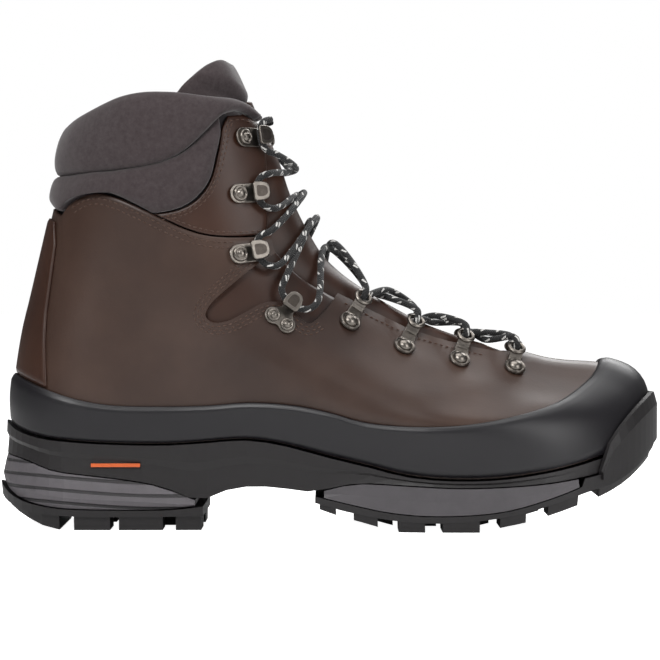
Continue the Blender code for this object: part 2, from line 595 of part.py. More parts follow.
def make_cuff_panels():
    bottom = [(-80.5, 145.2), (-76, 143.2), (-66, 138.8), (-56, 136), (-41.6, 135.3), (-28.6, 136.3)]
    rear = [(-80.5, 145.2), (-78.2, 145.4), (-69.1, 147.2), (-60.8, 152), (-54.8, 160.2), (-50.9, 174), (-48.9, 185),
            (-46.6, 190.6)]
    top = [(-46.6, 190.6), (-40, 191.2), (-33.4, 188.6)]
    front = [(-28.6, 136.3), (-28.4, 155), (-28.8, 167), (-30, 180), (-33.4, 188.6)]
    points = coons(bottom, top, rear, front, 8, 10)
    shape = points.shape[:2]
    mirrored("cuff_panel", points, np.full(shape, -0.4), np.full(shape, -2.2))


def make_collar_pads():
    bottom = [(-129.3, 150.4), (-125.7, 147.4), (-120.7, 152.4), (-114, 156), (-106, 156.9), (-98, 154.4),
              (-86, 148.8), (-81.6, 146.3)]
    top = [(-126.7, 162.4), (-111, 163.8), (-94, 165.2), (-78, 168.2), (-66.6, 173.8), (-56.9, 183), (-51.2, 189.2)]
    front = [(-81.6, 145.9), (-78.5, 146.3), (-69.6, 148.1), (-61.9, 152.8), (-55.9, 160.5), (-52.1, 174),
             (-50.6, 184), (-51.2, 189.2)]
    phi, v = both_sides(coons(bottom, top, [bottom[0], (-128, 156), top[0]], front, 18, 6, heel=0.85))
    shell("collar_pad_lower", phi, v, dome(v.shape, 0.3, 3.4), np.full_like(v, -2.2))
    bottom = [(-126.4, 163.2), (-111, 164.7), (-94, 166.2), (-78, 169.3), (-66, 175), (-56, 184.6), (-49.8, 191),
              (-42, 193.8), (-33.6, 190.0)]
    top = [(-121.2, 186.8), (-111, 193.3), (-100, 197.8), (-89, 200.4), (-75, 201.2), (-56, 199.4), (-43, 197.6),
           (-37.5, 195.2), (-33.4, 191.4)]
    phi, v = both_sides(coons(bottom, top, [bottom[0], (-124.3, 175), top[0]], [bottom[-1], top[-1]], 19, 6, heel=0.85))
    thin = np.interp(np.abs(phi), [0, 2.1, 2.5, 3.2], [4.0, 4.0, 1.8, 1.2])
    shell("collar_pad_upper", phi, v, 0.3 + (thin - 0.3) * dome(v.shape, 0, 1), np.full_like(v, -2.2))


TONGUE_FOOT, TONGUE_TOP = 100, 0.955


def tongue_width(v):
    return np.interp(v, [0.2, 0.3, 0.55, 0.75, 1], [12, 22, 27, 28, 27])


def lining_depth(phi, v):
    """How deep the lining's outside lies: behind the stiffeners and flex panels it stands off."""
    share = (1 - np.cos(phi)) / 2
    x, z = side_point(share, v)
    behind = np.maximum.reduce([
        np.clip((np.interp(x, *np.array([(-150, 118), (-120, 115), (-88, 100), (-60, 80), (-42, 60), (-34, 30)]).T) - z)
                / 8, 0, 1),
        np.clip((x - np.interp(z, [33, 52, 66, 84], [68, 74, 80, 86])) / 6, 0, 1) * 1.5,
        np.clip((x + 76) / 6, 0, 1) * np.clip((z - 76) / 5, 0, 1) * np.clip((146 - z) / 6, 0, 1) * 1.8,
    ])
    return INSIDE - 0.35 - 1.5 * behind


def make_lining():
    start = float(place(113, 77.1)[1])

    def edge(v):
        wide = phi_at_width(v, tongue_width(v) + 1.2)
        return np.where(v < start, math.pi, np.where(v < start + 0.03, math.pi + (wide - math.pi)
                        * np.clip((v - start) / 0.03, 0, 1) ** 0.5, wide))
    rows = [0, 0.04, 0.08, 0.12, start, start + 0.03, 0.25, 0.32, 0.4, 0.48, 0.57, 0.67, 0.78, 0.89, 1]
    low = spline(BOARD_TOP)
    phi, v = upper_grid(lambda p: level_of(low, p), lambda p: np.full_like(p, 0.995), COLUMNS, rows, edge)
    shell("lining", phi, v, lining_depth(np.abs(phi), v), np.minimum(-6.8, lining_depth(np.abs(phi), v) - 2.0))


def make_tongue():
    start = float(place(TONGUE_FOOT, 78.7)[1])
    levels = np.linspace(start, TONGUE_TOP, 19)[:, None]
    t = np.array([-1, -0.75, -0.52, -0.35, -0.18, 0, 0.18, 0.35, 0.52, 0.75, 1])[None, :]
    reach = math.pi - phi_at_width(levels, tongue_width(levels))
    phi = math.pi + reach * t
    v = levels * np.ones_like(t)
    puff = np.interp(levels, [start, start + 0.12, 0.9, TONGUE_TOP], [0, 1, 1, 0.9])
    free = (math.pi - throat_phis(levels)) / reach
    middle = np.clip((0.85 * free - np.abs(t)) / np.maximum(0.6 * free, 0.01), 0, 1)
    d_out = -4.8 + puff * 3.9 * middle**2 * (3 - 2 * middle)
    shell("tongue", phi, v, d_out, d_out - np.interp(levels, [start, start + 0.15], [2.5, 5.0]))


def above_collar(phi, v, d):
    """A point of the skin, which goes on above the collar in the direction of the leg."""
    over = np.maximum(np.asarray(v) - 1, 0)[..., None] * 265
    return off_skin(phi, np.minimum(v, 1), d) + over * np.array([-0.40, 0, 0.92])


def loose_shell(name, phi, v, d_out, d_in):
    """As shell, for pieces that stand above the collar."""
    outer, inner = above_collar(phi, v, d_out), above_collar(phi, v, d_in)
    rows, cols = phi.shape
    verts = np.vstack([outer.reshape(-1, 3), inner.reshape(-1, 3)])
    n = rows * cols
    quad = lambda r, c: [r * cols + c, r * cols + c + 1, (r + 1) * cols + c + 1, (r + 1) * cols + c]
    faces = [quad(r, c) for r in range(rows - 1) for c in range(cols - 1)]
    faces += [[i + n for i in q[::-1]] for q in faces]
    border = ([(0, c) for c in range(cols)] + [(r, cols - 1) for r in range(1, rows)]
              + [(rows - 1, c) for c in range(cols - 2, -1, -1)] + [(r, 0) for r in range(rows - 2, 0, -1)])
    ids = [r * cols + c for r, c in border]
    faces += [[b, a, a + n, b + n] for a, b in zip(ids, ids[1:] + ids[:1])]
    return body(name, verts, faces)


FACING_REACH = 2.74


def tongue_pad_shape(t, rows):
    """The winged pad at the top of the tongue: t runs -1 to 1 from wing to wing, rows 0 to 1 upwards.

    Above the collar its front comes forward, over the top of the facing.
    """
    phi = math.pi + (math.pi - 1.62) * t * np.ones_like(rows)
    top = 0.987 + 0.124 * np.clip(1 - np.abs(t) ** 1.7, 0, 1)
    v = 0.967 + rows * (top - 0.967)
    pad = np.sqrt(np.clip(1 - np.abs(t) ** 4, 0, 1) * np.clip(1 - np.abs(2 * rows - 1) ** 4, 0, 1))
    above = np.clip((v - 1.013) / 0.04, 0, 1)
    front = 6.4 * above**2 * (3 - 2 * above) * np.clip(1 - (np.abs(t) / 0.8) ** 2, 0, 1)
    return phi, v, -9.0 + 1.5 * pad + front, -10.0 - (2.8 - 2.6 * np.abs(t) ** 1.5) * pad + 0.7 * front


def facing_depth(v):
    """The facing starts behind the collar's front edges and comes level with them above."""
    share = np.clip((v - 0.99) / 0.035, 0, 1)
    return -5.4 + 4.2 * share**2 * (3 - 2 * share)


def make_tongue_pad():
    """The pad at the top of the tongue, and the leather facing on its front."""
    rows = np.array([0, 0.1, 0.3, 0.5, 0.62, 0.74, 0.86, 0.95, 1])[:, None]
    loose_shell("tongue_pad", *tongue_pad_shape(np.linspace(-1, 1, 19)[None, :], rows))
    t = np.linspace(-1, 1, 9)[None, :]
    phi = math.pi + (math.pi - FACING_REACH) * t * np.ones((6, 1))
    v = 0.962 + np.array([0, 0.3, 0.5, 0.65, 0.8, 1])[:, None] * (1.036 - 0.02 * t**2 - 0.962)
    d = facing_depth(v)
    loose_shell("tongue_facing", phi, v, d, d - 1.4)


# ---- the hardware ----

HOOKS = [((-40, 180.6), (-32.2, 180.6)), ((-41.9, 154.6), (-33.9, 155.1)), ((-41.6, 126.6), (-34.3, 127.6))]
LOW_HOOK = ((-22.5, 97.1), (-17.4, 104.1))
LOOPS = [((85.9, 73.8), (86.4, 80.2)), ((59.9, 77.6), (62.2, 85.6)), ((34.1, 83.8), (38.6, 92.4)),
         ((8.9, 95.3), (13.6, 104.0))]
STAND = 0.9
HOOK_REACH, HOOK_WIDTH, HOOK_HEIGHT = 11.4, 9.4, 7.0
ARM = 1.2
LACE_RADIUS = 1.5
EYE, EYE_WIRE, EYE_HEIGHT = 3.4, 0.85, 4.2


def seat(a, b, side):
    """A frame on the skin: the point at a, the direction to b, the direction across, and the normal."""
    phi, v = place([a[0], b[0]], [a[1], b[1]])
    points, normals = skin(side * phi, v), outward(side * phi, v)
    n = normals[0] + normals[1]
    n /= np.linalg.norm(n)
    u = points[1] - points[0]
    u -= n * (u @ n)
    u /= np.linalg.norm(u)
    w = np.cross(n, u)
    if w[2] < 0:
        w = -w
    return points[0], u, w, n


def in_seat(frame, points):
    p, u, w, n = frame
    return np.array([p + a * u + b * w + c * n for a, b, c in points])


def extrusion(name, frame, profile, half_widths):
    """A bent strip: a closed profile in the u-n plane, as wide as half_widths says at each of its points."""
    m = len(profile)
    local = [(u, s * hw, n) for s in (-1, 1) for (u, n), hw in zip(profile, half_widths)]
    faces = [[i, (i + 1) % m, (i + 1) % m + m, i + m] for i in range(m)]
    half = m // 2
    for k in (0, m):
        faces += [[k + i, k + i + 1, k + m - 2 - i, k + m - 1 - i] for i in range(half - 1)]
    return body(name, in_seat(frame, local), faces)


def make_hook(name, frame, width):
    """A strip that starts under the rivet, rises at the front and folds back over the lace."""
    f, t, h = STAND, ARM, HOOK_HEIGHT
    low = [(-5.2, f), (0, f), (HOOK_REACH - 2, f), (HOOK_REACH, f + 1.2), (HOOK_REACH + 0.8, h - 2), (HOOK_REACH, h),
           (HOOK_REACH - 2.6, h + 0.7), (4.6, h + 0.4)]
    high = [(-5.2, f + t), (0, f + t), (HOOK_REACH - 2.4, f + t), (HOOK_REACH - 1.3, f + 2.2),
            (HOOK_REACH - 0.5, h - 2.2), (HOOK_REACH - 1.2, h - 1.1), (HOOK_REACH - 3, h - 0.5), (4.6, h - 0.7)]
    widths = [width - 1.6, width, width - 0.6, width - 1, width - 1, width - 0.6, width - 0.2, width - 1.4]
    return extrusion(name, frame, low + high[::-1], widths + widths[::-1])


def make_rivet(name, frame, at=(0.0, 0.0), radius=3.7, height=2.0, base=STAND + ARM + GAP):
    verts, faces, n = [], [], 10
    rings = [(radius, 0), (radius * 0.9, 0.5)]
    for r, z in rings:
        verts += [(at[0] + r * math.cos(a), at[1] + r * math.sin(a), base + z * height)
                  for a in np.linspace(0, 2 * math.pi, n, endpoint=False)]
    verts.append((at[0], at[1], base + height))
    for k in range(len(rings) - 1):
        faces += [[k * n + i, k * n + (i + 1) % n, (k + 1) * n + (i + 1) % n, (k + 1) * n + i] for i in range(n)]
    faces += [[n + i, n + (i + 1) % n, 2 * n] for i in range(n)] + [list(range(n))[::-1]]
    return body(name, in_seat(frame, verts), faces)


def ring(name, frame, centre, major, minor, around=12, section=5):
    verts = []
    for a in np.linspace(0, 2 * math.pi, around, endpoint=False):
        for b in np.linspace(0, 2 * math.pi, section, endpoint=False):
            r = major + minor * math.cos(b)
            verts.append((centre[0] + r * math.cos(a), centre[1] + r * math.sin(a), centre[2] + minor * math.sin(b)))
    faces = [[i * section + j, ((i + 1) % around) * section + j, ((i + 1) % around) * section + (j + 1) % section,
              i * section + (j + 1) % section] for i in range(around) for j in range(section)]
    return body(name, in_seat(frame, verts), faces)


def make_loop(name, frame, reach):
    """A riveted foot, a neck and an eye for the lace."""
    foot = make_rivet(name, frame, radius=4.4, height=ARM, base=STAND)
    f, t = STAND, ARM
    start, end = 2.2, reach - EYE
    neck = extrusion("neck", frame, [(start, f + 0.2), ((start + end) / 2, f + 0.5), (end, EYE_HEIGHT - 0.5),
                                     (end, EYE_HEIGHT + 0.5), ((start + end) / 2, f + 0.5 + t), (start, f + t - 0.1)],
                     [2.4, 2.0, 2.0, 2.0, 2.0, 2.4])
    eye = ring("eye", frame, (reach, 0.0, EYE_HEIGHT), EYE, EYE_WIRE)
    return combine(foot, [neck, eye], "UNION")


def hardware_seats(side):
    """The frames of one side's hooks (from the top) and loops (from the toe), with each loop's reach."""
    hooks = [seat(a, b, side) for a, b in HOOKS]
    low = seat(*LOW_HOOK, side)
    loops = []
    for a, b in LOOPS:
        frame = seat(a, b, side)
        phi, v = place([a[0], b[0]], [a[1], b[1]])
        p = skin(side * phi, v)
        loops.append((frame, max(float(np.linalg.norm(p[1] - p[0])), 8.6)))
    return hooks, low, loops


def make_hardware():
    for side, where in ((-1, "outer"), (1, "inner")):
        hooks, low, loops = hardware_seats(side)
        for k, frame in enumerate(hooks, 1):
            make_hook(f"hook_{k}_{where}", frame, HOOK_WIDTH / 2)
            make_rivet(f"hook_{k}_rivet_{where}", frame)
        make_hook(f"hook_4_{where}", low, HOOK_WIDTH / 2 + 0.9)
        for k, w in enumerate((-3.0, 3.0)):
            make_rivet(f"hook_4_rivet_{'ab'[k]}_{where}", low, at=(-1.4, w), radius=2.4, height=1.5)
        for k, (frame, reach) in enumerate(loops, 1):
            make_loop(f"loop_{k}_{where}", frame, reach)
            make_rivet(f"loop_{k}_rivet_{where}", frame, radius=2.9, height=1.9, base=STAND + ARM + GAP)


# ---- the lace ----

def ridge_point(x_or_v, height, y=0.0):
    """A point this far above the tongue's crown, at a level of the front outline."""
    p, n = skin(math.pi - 1e-3, x_or_v), outward(math.pi - 0.02, x_or_v)
    n = np.array([n[0], 0, n[2]])
    n /= np.linalg.norm(n)
    return p + height * n + np.array([0, y, 0])


def through_eye(frame, reach, along):
    """The lace's way up through an eye: in from below on the tongue side and back out over the top."""
    return in_seat(frame, [(reach + 6.5, -along * 2.2, 2.0), (reach + 2.0, -along * 0.5, 1.9),
                           (reach - 0.1, 0, EYE_HEIGHT - 0.3), (reach + 0.4, along * 0.2, EYE_HEIGHT + 2.0),
                           (reach + 3.4, along * 1.6, EYE_HEIGHT + 3.3)])


def round_hook(frame, wide=0.0):
    """The lace's way round a hook, from below to above it."""
    w = 6.9 + wide
    return in_seat(frame, [(HOOK_REACH + 4.2, -w - 1.3, 4.0), (HOOK_REACH - 0.6, -w, 3.8), (8.0, -w / 2, 3.75),
                           (7.6, 0, 3.75), (8.0, w / 2, 3.75), (HOOK_REACH - 0.6, w, 3.8),
                           (HOOK_REACH + 4.2, w + 1.3, 4.0)])


def thinned(line, miss=0.16, longest=18.0):
    """The same line with fewer points: none of the dropped ones lies further off than miss."""
    kept, start = [0], 0
    for end in range(2, len(line)):
        chord = line[end] - line[start]
        length = np.linalg.norm(chord)
        off = line[start + 1:end] - line[start]
        far = np.linalg.norm(off - np.outer(off @ chord, chord) / length**2, axis=1).max()
        if far > miss or length > longest:
            start = end - 1
            kept.append(start)
    return line[kept + [len(line) - 1]]


def tube(name, path, radius, sides=5):
    line = thinned(spline(path, 10))
    tangent = np.gradient(line, axis=0)
    tangent /= np.linalg.norm(tangent, axis=1, keepdims=True)
    normal, verts = np.cross(tangent[0], (0.3, 0.2, 0.9)), []
    for p, t in zip(line, tangent):
        normal = normal - t * (normal @ t)
        normal /= np.linalg.norm(normal)
        across = np.cross(t, normal)
        verts += [p + radius * (math.cos(a) * normal + math.sin(a) * across)
                  for a in np.linspace(0, 2 * math.pi, sides, endpoint=False)]
    m = len(line)
    faces = [[k * sides + i, k * sides + (i + 1) % sides, (k + 1) * sides + (i + 1) % sides, (k + 1) * sides + i]
             for k in range(m - 1) for i in range(sides)]
    faces += [list(range(sides))[::-1], [(m - 1) * sides + i for i in range(sides)]]
    return body(name, verts, faces)


def lace_strand(first, height):
    """The way of one half of the lace from the first eye on side `first` to the last hook."""
    seats = {side: hardware_seats(side) for side in (-1, 1)}
    path, side = [], first
    for k in range(4):
        frame, reach = seats[side][2][k]
        path += list(through_eye(frame, reach, along=1.0))
        path.append(crossing(k, height))
        side = -side
    path += list(round_hook(seats[side][1], wide=0.9))
    path.append(crossing(4, height))
    side = -side
    for k in (2, 1, 0):
        path += list(round_hook(seats[side][0][k]))
        if k:
            path.append(crossing(7 - k, height))
            side = -side
    return path, side


CROSSINGS = [(72, 0), (48, 0), (25, 0.4), (-4, 1.8), (-11.5, 1.5), (-17.5, 1.0), (-21.5, 1.0)]


def crossing(k, height):
    """Where a strand passes over the middle of the tongue."""
    x = CROSSINGS[k][0]
    front = FRONT_LINE[np.argmin(np.abs(FRONT_LINE[:, 0] - x))]
    return ridge_point(float(place(front[0], front[1])[1]), 1.3 + height + CROSSINGS[k][1])


def make_lace():
    low, low_side = lace_strand(-1, 0.0)
    high, high_side = lace_strand(1, 3.4)
    path = low[::-1] + [ridge_point(float(place(84, 82.6)[1]), 2.2)] + high
    tube("lace", path, LACE_RADIUS)


def clear_scene():
    for item in list(bpy.data.objects):
        bpy.data.objects.remove(item)


def build():
    clear_scene()
    make_sole()
    make_cushion_bars()
    make_insoles()
    make_upper_leather()
    make_rand()
    make_backstay()
    make_stiffeners()
    make_flex_panels()
    make_cuff_panels()
    make_collar_pads()
    make_lining()
    make_tongue()
    make_tongue_pad()
    make_hardware()
    make_lace()


build()
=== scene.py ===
"""Looks for the mountaineering boot, built round its CAD parts."""

import json
import math
from functools import partial

import bmesh
import bpy
import numpy as np
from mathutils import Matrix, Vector

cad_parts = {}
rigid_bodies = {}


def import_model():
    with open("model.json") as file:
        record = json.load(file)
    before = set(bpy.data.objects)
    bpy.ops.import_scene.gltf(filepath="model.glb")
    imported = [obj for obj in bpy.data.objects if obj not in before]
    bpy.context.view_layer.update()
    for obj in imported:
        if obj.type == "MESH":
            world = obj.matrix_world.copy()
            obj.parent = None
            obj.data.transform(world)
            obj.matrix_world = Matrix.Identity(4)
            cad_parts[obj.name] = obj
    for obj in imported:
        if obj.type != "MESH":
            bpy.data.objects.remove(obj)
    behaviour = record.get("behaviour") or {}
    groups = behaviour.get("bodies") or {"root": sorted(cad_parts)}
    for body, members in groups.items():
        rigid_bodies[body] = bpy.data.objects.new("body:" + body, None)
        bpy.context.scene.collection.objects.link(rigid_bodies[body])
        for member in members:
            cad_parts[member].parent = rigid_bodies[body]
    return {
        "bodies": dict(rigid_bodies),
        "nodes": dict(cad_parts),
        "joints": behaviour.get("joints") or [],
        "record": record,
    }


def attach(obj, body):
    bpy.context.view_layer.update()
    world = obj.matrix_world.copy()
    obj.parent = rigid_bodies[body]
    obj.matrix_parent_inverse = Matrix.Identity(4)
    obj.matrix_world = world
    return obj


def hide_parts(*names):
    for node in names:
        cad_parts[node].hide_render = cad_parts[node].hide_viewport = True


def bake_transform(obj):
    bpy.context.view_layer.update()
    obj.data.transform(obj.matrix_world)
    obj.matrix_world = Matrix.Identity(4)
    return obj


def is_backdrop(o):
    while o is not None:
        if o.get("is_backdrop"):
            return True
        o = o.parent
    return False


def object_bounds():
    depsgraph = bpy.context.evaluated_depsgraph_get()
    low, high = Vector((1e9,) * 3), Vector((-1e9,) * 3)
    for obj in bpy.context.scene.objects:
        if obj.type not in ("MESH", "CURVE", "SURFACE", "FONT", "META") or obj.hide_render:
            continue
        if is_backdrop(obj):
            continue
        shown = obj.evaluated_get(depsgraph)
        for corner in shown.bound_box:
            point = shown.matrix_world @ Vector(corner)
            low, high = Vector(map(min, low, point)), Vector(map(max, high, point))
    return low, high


MM = 0.001

# Thicknesses, measured inwards or outwards from the skin.
LEATHER = 2.2
RAND = 2.0
RAND_GAP = 0.9
STIFFENER = 1.15
INSIDE = -2.75  # the depth of the first layer behind the leather

# Side outlines, as (x, z). The rear one runs up the heel, the front one from the toe up the instep.
REAR = [(-147.2, 50), (-147.6, 60), (-146.3, 72), (-143, 92), (-139.8, 105), (-136.5, 119), (-133, 134),
        (-129.5, 149), (-126.5, 163), (-124, 176), (-121, 187)]
FRONT = [(147.5, 56), (147.6, 61), (145.3, 67), (140.5, 71.8), (131, 75.3), (121, 76.6), (111, 77.2), (101, 78.6),
         (90, 81.6), (75, 84.8), (59.5, 89.4), (44, 95.2), (30, 102.6), (15.5, 111.4), (5, 119), (-3, 127),
         (-9, 136.5), (-14, 146), (-18.4, 156), (-22, 167), (-26.5, 179), (-32, 190)]
FEATHER = [(-147.2, 50), (-142.5, 46.2), (-131.6, 42.6), (-120, 41.2), (-106, 40.2), (-76, 39.6), (-61, 40.4),
           (-38, 42), (-22, 40), (0, 34.4), (18, 30.2), (34, 26.2), (50, 24.4), (74, 24.4), (99, 27.6),
           (120, 32.6), (134, 38), (143, 46), (147.5, 56)]
COLLAR = [(-121, 187), (-111, 193.5), (-100, 198), (-89, 200.6), (-75, 201.4), (-56, 199.6), (-43, 198.2),
          (-37, 195.5), (-32, 190)]

# Half widths of the skin: a row for each level, a column for each share of the way from heel to front.
LEVELS = [0, 0.12, 0.3, 0.5, 0.73, 1]
SHARES = [0, 0.15, 0.35, 0.55, 0.75, 0.9, 1]
HALF_WIDTHS = [
    [33, 34, 33, 41, 48.5, 45, 42],
    [34, 35, 35, 43, 50, 47, 44],
    [33, 35, 37, 42, 45, 43, 42],
    [31, 33.5, 38, 39.5, 39, 36, 34],
    [28, 31, 36.5, 37, 34, 31, 30],
    [28, 31, 37, 38.5, 36, 33, 32],
]
# How far the rounding of the front end reaches back at each level, and how full it is.
NOSE_LENGTH = [52, 66, 92, 86, 56, 40]
NOSE_FULLNESS = [2.2, 2.6, 2.9, 2.7, 2.3, 2.1]
HEEL_RADIUS = 34
# The middle line of the foot, as (x, y): a right foot turns inwards at the toes.
MIDDLE = [(-150, 0.2), (-70, -0.3), (-20, -2.8), (45, -2.8), (100, 2.2), (150, 8.2)]

# Lines on the upper's side, as (x, z).
RAND_TOP = [(-148, 71.6), (-140, 68), (-131.6, 64.7), (-117.7, 60.3), (-101, 57.4), (-76, 56.8), (-56, 57.3),
            (-37, 58.8), (-17, 57.8), (0, 54.6), (14, 50.6), (29, 48.7), (50, 48.2), (72, 49.8), (93.6, 54.1),
            (105, 57.8), (115, 63.6), (122.5, 69.6), (127, 77)]
QUARTER_TOP = [(-129.8, 148.6), (-125.7, 145), (-120.7, 150.3), (-114, 153.8), (-106, 154.8), (-98, 152.6),
               (-86, 147.3), (-76, 142.4), (-66, 138), (-56, 135.2), (-41.6, 134.5), (-30, 135.5), (-10, 140)]
NOTCH = [(-24, 128), (-35, 121), (-46, 112), (-55.5, 103), (-57, 98.5), (-54, 95.6), (-47, 96.2), (-40, 99.5),
         (-30, 104.5), (-20, 104), (-10, 95), (-3, 100), (3, 108), (8, 118)]

THROAT_END, THROAT_END_HEIGHT = 92, 81.0  # where the opening over the tongue ends, on the front outline


def spline(points, per_span=12):
    """A smooth line through the points (centripetal Catmull-Rom), read off per_span times in each span."""
    p = np.array(points, float)
    p = np.vstack([2 * p[0] - p[1], p, 2 * p[-1] - p[-2]])
    made = []
    for a, b, c, d in zip(p, p[1:], p[2:], p[3:]):
        t = np.cumsum([0] + [max(np.linalg.norm(q - o), 1e-9) ** 0.5 for o, q in ((a, b), (b, c), (c, d))])
        u = np.linspace(t[1], t[2], per_span, endpoint=False)[:, None]
        ab = (t[1] - u) / (t[1] - t[0]) * a + (u - t[0]) / (t[1] - t[0]) * b
        bc = (t[2] - u) / (t[2] - t[1]) * b + (u - t[1]) / (t[2] - t[1]) * c
        cd = (t[3] - u) / (t[3] - t[2]) * c + (u - t[2]) / (t[3] - t[2]) * d
        abc = (t[2] - u) / (t[2] - t[0]) * ab + (u - t[0]) / (t[2] - t[0]) * bc
        bcd = (t[3] - u) / (t[3] - t[1]) * bc + (u - t[1]) / (t[3] - t[1]) * cd
        made.append((t[2] - u) / (t[2] - t[1]) * abc + (u - t[1]) / (t[2] - t[1]) * bcd)
    return np.vstack([*made, p[-2:-1]])


def walk(line, share):
    """The point this share of the way along a line."""
    along = np.concatenate([[0], np.cumsum(np.linalg.norm(np.diff(line, axis=0), axis=1))])
    at = np.clip(share, 0, 1) * along[-1]
    return np.stack([np.interp(at, along, line[:, k]) for k in range(line.shape[1])], axis=-1)


def cubic(t, h, start, start_slope, end, end_slope):
    """A smooth step of width h between two values with these slopes, read at t from 0 to 1."""
    return (
        (1 + 2 * t) * (1 - t) ** 2 * start
        + t * (1 - t) ** 2 * h * start_slope
        + t * t * (3 - 2 * t) * end
        + t * t * (t - 1) * h * end_slope
    )


def span_of(xs, x):
    """The span of xs that holds x: its number, its width and how far along it x lies."""
    i = np.clip(np.searchsorted(xs, x, side="right") - 1, 0, len(xs) - 2)
    h = xs[i + 1] - xs[i]
    return i, h, np.clip((x - xs[i]) / h, 0, 1)


def smooth(xs, ys, x):
    """A smooth curve through (xs, ys), read at x. ys may hold rows."""
    xs, ys, x = np.array(xs, float), np.array(ys, float), np.asarray(x, float)
    slopes = np.gradient(ys, xs, axis=0)
    i, h, t = span_of(xs, x)
    if ys.ndim > 1:
        t, h = t[..., None], h[..., None]
    return cubic(t, h, ys[i], slopes[i], ys[i + 1], slopes[i + 1])


def smooth_each(xs, rows, x):
    """As smooth, where every x has its own row values."""
    xs, slopes = np.array(xs, float), np.gradient(rows, xs, axis=0)
    i, h, t = span_of(xs, x)
    return cubic(t, h, *(np.take_along_axis(table, k[None], axis=0)[0] for k in (i, i + 1) for table in (rows, slopes)))


REAR_LINE, FRONT_LINE = spline(REAR), spline(FRONT)
FEATHER_LINE, COLLAR_LINE = spline(FEATHER), spline(COLLAR)


def height_on(line, x):
    return np.interp(x, line[:, 0], line[:, 1])


def bow(line, share):
    """How far a line from heel to front stands above its own chord."""
    start, end = line[0], line[-1]
    return height_on(line, start[0] + share * (end[0] - start[0])) - (start[1] + share * (end[1] - start[1]))


def side_point(share, v):
    """(x, z) of the skin at this share of the way from the rear outline to the front one."""
    rear, front = walk(REAR_LINE, v), walk(FRONT_LINE, v)
    x = rear[..., 0] + share * (front[..., 0] - rear[..., 0])
    z = rear[..., 1] + share * (front[..., 1] - rear[..., 1])
    return x, z + (1 - v) * bow(FEATHER_LINE, share) + v**3 * bow(COLLAR_LINE, share)


def half_width(share, v):
    """Half the skin's width there, rounded off at the heel and at the front."""
    share, v = np.broadcast_arrays(np.asarray(share, float), np.asarray(v, float))
    rows = np.moveaxis(smooth(SHARES, np.array(HALF_WIDTHS).T, share), -1, 0)
    width = smooth_each(LEVELS, rows, v)
    length = walk(FRONT_LINE, v)[..., 0] - walk(REAR_LINE, v)[..., 0]
    heel = np.clip(1 - share * length / HEEL_RADIUS, 0, 1)
    nose = np.clip(1 - (1 - share) * length / smooth(LEVELS, NOSE_LENGTH, v), 0, 1)
    return width * np.sqrt(1 - heel**2) * np.sqrt(1 - nose ** smooth(LEVELS, NOSE_FULLNESS, v))


def skin(phi, v):
    """A point of the skin."""
    phi, v = np.broadcast_arrays(np.asarray(phi, float), np.asarray(v, float))
    share = (1 - np.cos(phi)) / 2
    x, z = side_point(share, v)
    side = np.where(np.sin(phi) < 0, -1, 1) * half_width(share, v)
    return np.stack([x, np.interp(x, *np.array(MIDDLE).T) + side, z], axis=-1)


def outward(phi, v):
    """The skin's unit normal, away from the foot."""
    e, f = 0.01, 0.004
    phi, v = np.broadcast_arrays(np.asarray(phi, float), np.asarray(v, float))
    low, high = np.clip(v - f, 0, 1), np.clip(v + f, 0, 1)
    along = skin(phi + e, v) - skin(phi - e, v)
    up = skin(phi, high) - skin(phi, low)
    n = np.cross(up, along)
    return n / np.maximum(np.linalg.norm(n, axis=-1, keepdims=True), 1e-9)


def off_skin(phi, v, d):
    return skin(phi, v) + np.asarray(d, float)[..., None] * outward(phi, v)


def level_of(line, phi):
    """The level at which the skin crosses a side line, for each phi."""
    levels = np.linspace(0, 1, 241)
    share = (1 - np.cos(np.ravel(phi))) / 2
    x, z = side_point(share[None, :], levels[:, None])
    above = z - np.interp(x, line[:, 0], line[:, 1])
    found = []
    for column in above.T:
        i = int(np.argmax((column[1:] >= 0) & (column[:-1] < 0)))
        a, b = column[i], column[i + 1]
        found.append(levels[i] + (levels[i + 1] - levels[i]) * np.clip(-a / (b - a), 0, 1) if b > a else 0)
    return np.array(found).reshape(np.shape(phi))


def nearest(levels, x, z):
    """Which of the levels has a side point nearest to (x, z), and the point's share of the way forward."""
    rear, front = walk(REAR_LINE, levels)[:, 0], walk(FRONT_LINE, levels)[:, 0]
    share = np.clip((x - rear) / (front - rear), 0, 1)
    miss = np.abs(side_point(share, levels)[1] - z) + 4 * np.abs(rear + share * (front - rear) - x)
    best = int(np.argmin(miss))
    return best, share[best]


def place(x, z):
    """(phi, v) of side points, phi being taken positive."""
    x, z = np.broadcast_arrays(np.asarray(x, float), np.asarray(z, float))
    levels = np.linspace(0, 1, 401)
    phis, vs = [], []
    for px, pz in zip(np.ravel(x), np.ravel(z)):
        best = nearest(levels, px, pz)[0]
        fine = np.linspace(levels[max(best - 1, 0)], levels[min(best + 1, 400)], 41)
        k, share = nearest(fine, px, pz)
        phis.append(math.acos(1 - 2 * share))
        vs.append(fine[k])
    return np.array(phis).reshape(x.shape), np.array(vs).reshape(x.shape)


def phi_at_width(v, width):
    """The phi near the front at which the skin is this far from the middle line."""
    phis = np.linspace(math.pi / 2, math.pi, 121)
    v, width = np.broadcast_arrays(np.asarray(v, float), np.asarray(width, float))
    table = half_width(((1 - np.cos(phis)) / 2)[None, :], v.reshape(-1, 1))
    found = [np.interp(-w, -row, phis) for row, w in zip(table, width.ravel())]
    return np.array(found).reshape(v.shape)


